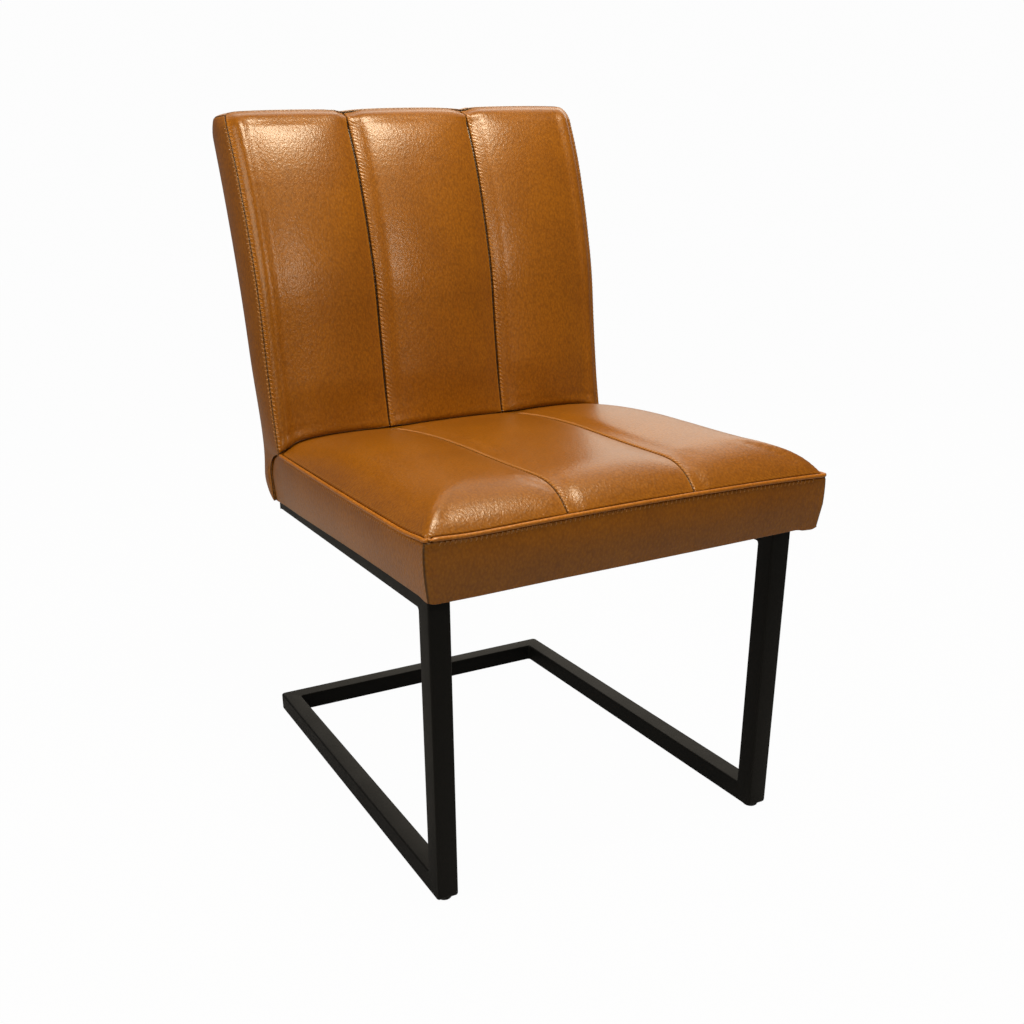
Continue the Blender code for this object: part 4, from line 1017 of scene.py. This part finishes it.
# %% Spread the swell over the grids
def swell_of(grids, is_open, pressure, cap):
    """For each grid, its coarse lines and how its points move when the foam pushes the cover out."""
    mesh = lay_cushion(grids)
    data = bpy.data.meshes.new("coarse_cover")
    mesh.to_mesh(data)
    mesh.free()
    before = np.zeros(len(data.vertices) * 3)
    data.vertices.foreach_get("co", before)
    before = before.reshape(-1, 3)
    gaps = [np.abs(read_layer(data, name)) for name in SEAM_LAYERS]
    pinned = (np.minimum.reduce(gaps) < 1 * MM) | ~is_open(before)
    moves = relax_cover(data, pinned, pressure) - before
    length = np.linalg.norm(moves, axis=1, keepdims=True)
    moves = moves * (cap * np.tanh(length / cap) / np.maximum(length, 1e-9))
    finder = KDTree(len(before))
    for index, point in enumerate(before):
        finder.insert(point, index)
    finder.balance()
    swells = {}
    for name, (columns, rows, place, _, _) in grids.items():
        points = place(*np.meshgrid(columns, rows, indexing="ij"))
        nearest = [finder.find(point)[1] for point in points.reshape(-1, 3)]
        swells[name] = (columns, rows, moves[nearest].reshape(points.shape))
    lengths = np.linalg.norm(moves[~pinned], axis=1)
    print("swell mean", round(float(lengths.mean()) / MM, 2), "mm, most", round(float(lengths.max()) / MM, 2))
    return swells


# %% [markdown]
# The seat is laid twice: coarse for the simulation and fine for the render. It stays pinned where it
# lies on its board and where it presses on the back, so only its top and its bands swell. One form
# for both would be simpler, but fine enough for the seams it would take minutes to simulate.

# %% Seat cushion
FINEST = 0.4 * MM
SEAT_SIDE = 62 * MM


def joint_levels(length, first, growth, widest):
    """Levels from the base to the top seam, for a side of this length."""
    return BASE_LEVEL - BASE_LEVEL * spaced_lines(length, first, growth, widest)


columns = cushion_columns(FINEST, 1.35, 4.2 * MM)
seat_depths = spaced_lines(SEAT_DEPTH, FINEST, 1.35, 2.6 * MM)
seat_levels = joint_levels(SEAT_SIDE, FINEST, 1.5, 3.5 * MM)
coarse_columns = cushion_columns(*COARSE_LINES)
seat_swell = None
seat_swell = swell_of(
    seat_grids(coarse_columns, spaced_lines(SEAT_DEPTH, *COARSE_LINES),
               joint_levels(SEAT_SIDE, *COARSE_LINES)),
    lambda p: (p[:, 2] > SEAT_BASE_Z + 1 * MM) & (p[:, 1] < JOINT_Y - 1 * MM),
    SEAT_PRESSURE, SEAT_CAP)
seat_mesh = lay_cushion(seat_grids(columns, seat_depths, seat_levels), seat_swell)
seat_cushion = add_piece("seat_cushion", seat_mesh, LEATHER)
sew(seat_cushion, channel_depth=1.6 * MM, channel_painted_shade=0.8, border_shadow=2.1 * MM, has_ridge=False)
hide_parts("seat_foam", "seat_panel_left", "seat_panel_centre", "seat_panel_right",
            "seat_band_front", "seat_band_left", "seat_band_right")
print("seat cushion faces", len(seat_cushion.data.polygons))

# %% [markdown]
# The back is laid the same way, from the base up past the joint to its top. Only what stands above the
# joint swells, because the seat and the boards hold the rest. Its pressure is higher than the seat's,
# because its panels are rounder pillows. Its front stands 0.5 mm clear of the seat all down the joint.

# %% Back cushion
BACK_EDGE = 90 * MM
back_low = joint_levels(JOINT_HEIGHT, 1.5 * MM, 1.3, 5 * MM)
back_high = spaced_lines(BACK_HEIGHT, FINEST, 1.35, 2.8 * MM)
back_stations = np.concatenate([back_low, back_high[1:]])
back_thick = spaced_lines(BACK_EDGE, FINEST, 1.5, 5 * MM)
back_swell = None
coarse_low = joint_levels(JOINT_HEIGHT, *COARSE_LINES)
coarse_high = spaced_lines(BACK_HEIGHT, *COARSE_LINES)
back_swell = swell_of(
    back_grids(coarse_columns, np.concatenate([coarse_low, coarse_high[1:]]),
               spaced_lines(BACK_EDGE, *COARSE_LINES)),
    lambda p: p[:, 2] > JOINT_EDGE_Z + 4 * MM, BACK_PRESSURE, BACK_CAP)
back_mesh = lay_cushion(back_grids(columns, back_stations, back_thick), back_swell)
back_cushion = add_piece("back_cushion", back_mesh, LEATHER)
sew(back_cushion, channel_depth=CHANNEL_DEPTH, channel_painted_shade=1.0, border_shadow=1.4 * MM, has_ridge=True)
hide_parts("back_foam", "back_panel_left", "back_panel_centre", "back_panel_right",
            "back_band_left", "back_band_right", "back_band_top", "back_rear_panel")
print("back cushion faces", len(back_cushion.data.polygons))

# %% [markdown]
# The welt is a thin cord wrapped in leather and sewn into the seat's top edge on three sides. A circle
# could be pushed along the edge step by step, but a curve with a round bevel gives a cord of even
# thickness at once. It is turned into a mesh, so that nothing in it stays live.

# %% Seat welt
WELT_RADIUS = 2.3 * MM


def smooth_path(points, corner):
    """A path with its sharp turns cut back by corner and rounded."""
    path = [points[0]]
    for before, here, after in zip(points, points[1:], points[2:]):
        first, last = (here - before), (after - here)
        if first.angle(last) < math.radians(20):
            path.append(here)
            continue
        start, end = here - first.normalized() * corner, here + last.normalized() * corner
        for step in range(6):
            share = step / 5
            path.append((1 - share) ** 2 * start + 2 * share * (1 - share) * here + share ** 2 * end)
    path.append(points[-1])
    return path


def cord_along(name, points, radius, material):
    line = bpy.data.curves.new(name, "CURVE")
    line.dimensions = "3D"
    line.bevel_depth = radius
    line.bevel_resolution = 4
    line.use_fill_caps = True
    spline = line.splines.new("POLY")
    spline.points.add(len(points) - 1)
    for spline_point, place in zip(spline.points, points):
        spline_point.co = (*place, 1.0)
    holder = bpy.data.objects.new(name + "_line", line)
    bpy.context.scene.collection.objects.link(holder)
    made = bpy.data.meshes.new_from_object(holder.evaluated_get(bpy.context.evaluated_depsgraph_get()))
    mesh = bmesh.new()
    mesh.from_mesh(made)
    bmesh.ops.remove_doubles(mesh, verts=mesh.verts[:], dist=0.01 * MM)
    bmesh.ops.recalc_face_normals(mesh, faces=mesh.faces[:])
    bpy.data.objects.remove(holder)
    return add_piece(name, mesh, material)


def seat_edge(offset):
    depths = np.linspace(0.0, 1.0, 90)[1:]
    sides = [seat_point(side * np.ones_like(depths), np.zeros_like(depths), depths) for side in (-1.0, 1.0)]
    across = np.linspace(-1, 1, 100)
    front = seat_point(across, np.zeros_like(across), np.zeros_like(across))
    left = [Vector(p) + Vector((-offset, 0, 0)) for p in sides[0][::-1]]
    right = [Vector(p) + Vector((offset, 0, 0)) for p in sides[1]]
    middle = [Vector(p) + Vector((offset * (p[0] / HALF_WIDTH), -offset, 0)) for p in front]
    return left + middle + right


welt_route = smooth_path(seat_edge(0.1 * MM), 5 * MM)
# the cord's leather is drawn paler than the seat's, a painted highlight
seat_welt = cord_along("seat_welt_cord", welt_route, WELT_RADIUS, WELT_LEATHER_PAINTED_HIGHLIGHT)
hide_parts("seat_welt")
print("welt faces", len(seat_welt.data.polygons))

# %% [markdown]
# Stitches show as short raised dashes beside the seams, each slanted across its row. They could be a
# pattern in the leather, but then they wouldn't stand up and catch the light. Each is a small sphere
# stretched into a thread and laid at the nearest point of the finished leather, so it follows every dip.

# %% Stitches
STITCH_PITCH = 5.6 * MM
STITCH_LENGTH = 4.6 * MM
THREAD_RADIUS = 0.6 * MM
SLANT = math.radians(60)
BACK_INSET = 3.4 * MM
BAND_INSET = (2 * MM, 3 * MM)
SEAT_INSET = 2.2 * MM
BELOW_WELT = 5 * MM


def resample(points, pitch):
    points = np.array([tuple(p) for p in points])
    run = np.concatenate([[0.0], np.cumsum(np.linalg.norm(np.diff(points, axis=0), axis=1))])
    places = np.arange(pitch, run[-1] - pitch, pitch)
    return [Vector([float(np.interp(place, run, points[:, k])) for k in range(3)]) for place in places]


def add_stitches(mesh, surface, route, slant):
    """A row of stitches on the surface under a route, each turned by slant from the row's line."""
    places = resample(route, STITCH_PITCH)
    row = bmesh.new()
    for before, here, after in zip(places, places[1:], places[2:]):
        spot, normal, _, _ = surface.find_nearest(here)
        tangent = Matrix.Rotation(slant, 3, normal) @ (after - before).normalized()
        side = normal.cross(tangent).normalized()
        turn = Matrix((tangent, side, tangent.cross(side))).transposed().to_4x4()
        size = Matrix.Diagonal((STITCH_LENGTH / 2, THREAD_RADIUS, THREAD_RADIUS, 1.0))
        bmesh.ops.create_uvsphere(row, u_segments=8, v_segments=5, radius=1.0,
                                  matrix=Matrix.Translation(spot) @ turn @ size)
    finished_row = bpy.data.meshes.new("stitch_row")
    row.to_mesh(finished_row)
    row.free()
    mesh.from_mesh(finished_row)
    bpy.data.meshes.remove(finished_row)


def surface_of(piece):
    mesh = bmesh.new()
    mesh.from_mesh(piece.data)
    tree = BVHTree.FromBMesh(mesh)
    mesh.free()
    return tree


def shifted(points, move):
    return [Vector(p) + Vector(move) for p in points]


# %% Stitches of the back
along = np.linspace(0.02, 0.985, 200)
ones, zeros = np.ones_like(along), np.zeros_like(along)
back_surface = surface_of(back_cushion)
back_thread = bmesh.new()
for side in (-1.0, 1.0):
    edge = back_point(side * ones, zeros, along)
    add_stitches(back_thread, back_surface, shifted(edge, (-side * BACK_INSET, 0, 0)), SLANT)
    add_stitches(back_thread, back_surface, shifted(edge, (side * BAND_INSET[0], BAND_INSET[1], 0)), SLANT)
    channel = back_point(side * CHANNEL_AT * ones, zeros, along)
    add_stitches(back_thread, back_surface, shifted(channel, (BACK_INSET, 0, 0)), SLANT)
back_stitching = add_piece("back_stitching", back_thread, THREAD)
print("back stitch faces", len(back_stitching.data.polygons))

# %% Stitches of the seat
seat_surface = surface_of(seat_cushion)
seat_thread = bmesh.new()
across = np.linspace(-0.98, 0.98, 200)
front_edge = seat_point(across, np.zeros_like(across), np.zeros_like(across))
add_stitches(seat_thread, seat_surface, shifted(front_edge, (0, 0, -BELOW_WELT)), SLANT)
for side in (-1.0, 1.0):
    side_edge = seat_point(side * ones, zeros, along)
    add_stitches(seat_thread, seat_surface, shifted(side_edge, (0, 0, -BELOW_WELT)), SLANT)
    channel = seat_point(side * CHANNEL_AT * ones, zeros, along)
    add_stitches(seat_thread, seat_surface, shifted(channel, (SEAT_INSET, 0, 0)), SLANT)
seat_stitching = add_piece("seat_stitching", seat_thread, THREAD)
print("seat stitch faces", len(seat_stitching.data.polygons))

# %% [markdown]
# A dust cloth closes the underside between the rails. It is a thin sheet that is held along its edges
# and sags a little between them. A simulation could hang it, but a sag this shallow is the same smooth
# bowl every time, so a grid is lowered by a formula and then given its thickness.

# %% Dust cloth
CLOTH_SAG = 1.2 * MM
CLOTH_THICKNESS = 0.5 * MM
cloth_low, cloth_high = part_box("dust_cover")
cloth_size = (cloth_high.x - cloth_low.x, cloth_high.y - cloth_low.y)
cloth_mesh = bmesh.new()
bmesh.ops.create_grid(cloth_mesh, x_segments=60, y_segments=60, size=0.5)
for vert in cloth_mesh.verts:
    sag = CLOTH_SAG * (1 - (2 * vert.co.x) ** 2) * (1 - (2 * vert.co.y) ** 2)
    vert.co = Vector(((cloth_low.x + cloth_high.x) / 2 + vert.co.x * cloth_size[0],
                      (cloth_low.y + cloth_high.y) / 2 + vert.co.y * cloth_size[1],
                      cloth_high.z - sag))
bmesh.ops.reverse_faces(cloth_mesh, faces=cloth_mesh.faces[:])
bmesh.ops.solidify(cloth_mesh, geom=cloth_mesh.faces[:], thickness=CLOTH_THICKNESS)
bmesh.ops.recalc_face_normals(cloth_mesh, faces=cloth_mesh.faces[:])
dust_cloth = add_piece("dust_cloth", cloth_mesh, DUST_CLOTH)
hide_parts("dust_cover")
print("dust cloth", [round(size, 3) for size in cloth_size])

# %% [markdown]
# The chair stands on seamless white paper. Real lamps bright enough to make the paper white would bleach
# the leather, so the paper and the backdrop glow white by themselves, but only for rays that come
# straight from the camera or through something clear. Mirrored rays get a small share of that white:
# the black tubes and the dark leather in the photograph mirror a dark studio, and no bare metal or
# glass is in view. For every other ray it is grey paper, which throws a soft light up under the chair.


# %% Floor and backdrop
MIRRORED_WHITE = 0.08
PAPER_WHITE = 0.98
ROOM_LIGHT = 0.06


def white_share(tree):
    """How much of the white a ray sees: all of it for camera and clear rays, a little for mirrored ones."""
    rays = add_node(tree, "ShaderNodeLightPath")
    mirrored = add_node(tree, "ShaderNodeMath", {
        0: rays.outputs["Is Glossy Ray"], 1: MIRRORED_WHITE, 2: rays.outputs["Is Camera Ray"]},
        operation="MULTIPLY_ADD")
    share = add_node(tree, "ShaderNodeMath", {
        0: mirrored.outputs[0], 1: rays.outputs["Is Transmission Ray"]}, operation="ADD", use_clamp=True)
    return share.outputs[0]


def white_paper():
    material, tree, shader = new_material("white_seamless_paper")
    shader.inputs["Base Color"].default_value = colour("#ABABAB")
    shader.inputs["Roughness"].default_value = 0.9
    shader.inputs["Specular IOR Level"].default_value = 0.1
    glow = add_node(tree, "ShaderNodeEmission", {"Color": (1, 1, 1, 1), "Strength": 1.0})
    share = add_node(tree, "ShaderNodeMath", {0: white_share(tree), 1: PAPER_WHITE}, operation="MULTIPLY")
    mixed = add_node(tree, "ShaderNodeMixShader", {
        0: share.outputs[0], 1: shader.outputs[0], 2: glow.outputs[0]})
    tree.links.new(mixed.outputs[0], tree.nodes["Material Output"].inputs["Surface"])
    return material


floor_mesh = bmesh.new()
bmesh.ops.create_grid(floor_mesh, x_segments=1, y_segments=1, size=20.0)
floor_data = bpy.data.meshes.new("studio_floor")
floor_mesh.to_mesh(floor_data)
floor_mesh.free()
studio_floor = bpy.data.objects.new("studio_floor", floor_data)
bpy.context.scene.collection.objects.link(studio_floor)
dress(studio_floor, white_paper())

world = bpy.data.worlds.new("studio")
bpy.context.scene.world = world
world.use_nodes = True
backdrop = world.node_tree.nodes["Background"]
seen = add_node(world.node_tree, "ShaderNodeMapRange", {
    "Value": white_share(world.node_tree), "To Min": ROOM_LIGHT, "To Max": PAPER_WHITE})
backdrop.inputs["Color"].default_value = (1, 1, 1, 1)
world.node_tree.links.new(seen.outputs[0], backdrop.inputs["Strength"])
print("floor", studio_floor.name, "backdrop", world.name)

# %% [markdown]
# Large soft lamps give the leather broad, calm highlights. The one overhead and the small one in front
# draw the bright patches at the top of the back and on the seat's front roll. The two behind light the
# edges and the seat's rear, and the left one keeps the side bands from going dark. One picture of a
# studio all round would be quicker, but its lamps couldn't be moved or dimmed one by one.


# %% Lamps
LAMP_COLOUR = "#FFF3DF"


def soft_lamp(name, place, target, size, power):
    lamp = bpy.data.lights.new(name, "AREA")
    lamp.shape = "RECTANGLE"
    lamp.size, lamp.size_y = size
    lamp.energy = power
    lamp.color = colour(LAMP_COLOUR)[:3]
    holder = bpy.data.objects.new(name, lamp)
    holder.location = place
    holder.rotation_mode = "QUATERNION"
    holder.rotation_quaternion = (Vector(target) - Vector(place)).to_track_quat("-Z", "Y")
    holder.visible_camera = False
    bpy.context.scene.collection.objects.link(holder)


soft_lamp("overhead_lamp", (0.15, -0.5, 2.3), (0.0, 0.0, 0.6), (0.7, 0.45), 36.5)
soft_lamp("front_lamp", (0.05, -2.3, 1.65), (0.0, 0.0, 0.6), (0.25, 0.3), 10.8)
soft_lamp("rear_lamp", (1.5, 2.1, 1.25), (0.1, 0.0, 0.5), (2.4, 1.6), 13)
soft_lamp("rear_top_lamp", (1.0, 1.6, 2.2), (0.0, -0.1, 0.5), (2.8, 2.0), 17)
soft_lamp("left_lamp", (-2.2, -0.2, 1.5), (0.0, 0.0, 0.5), (1.5, 1.5), 28)
print("lamps", len(bpy.data.lights))
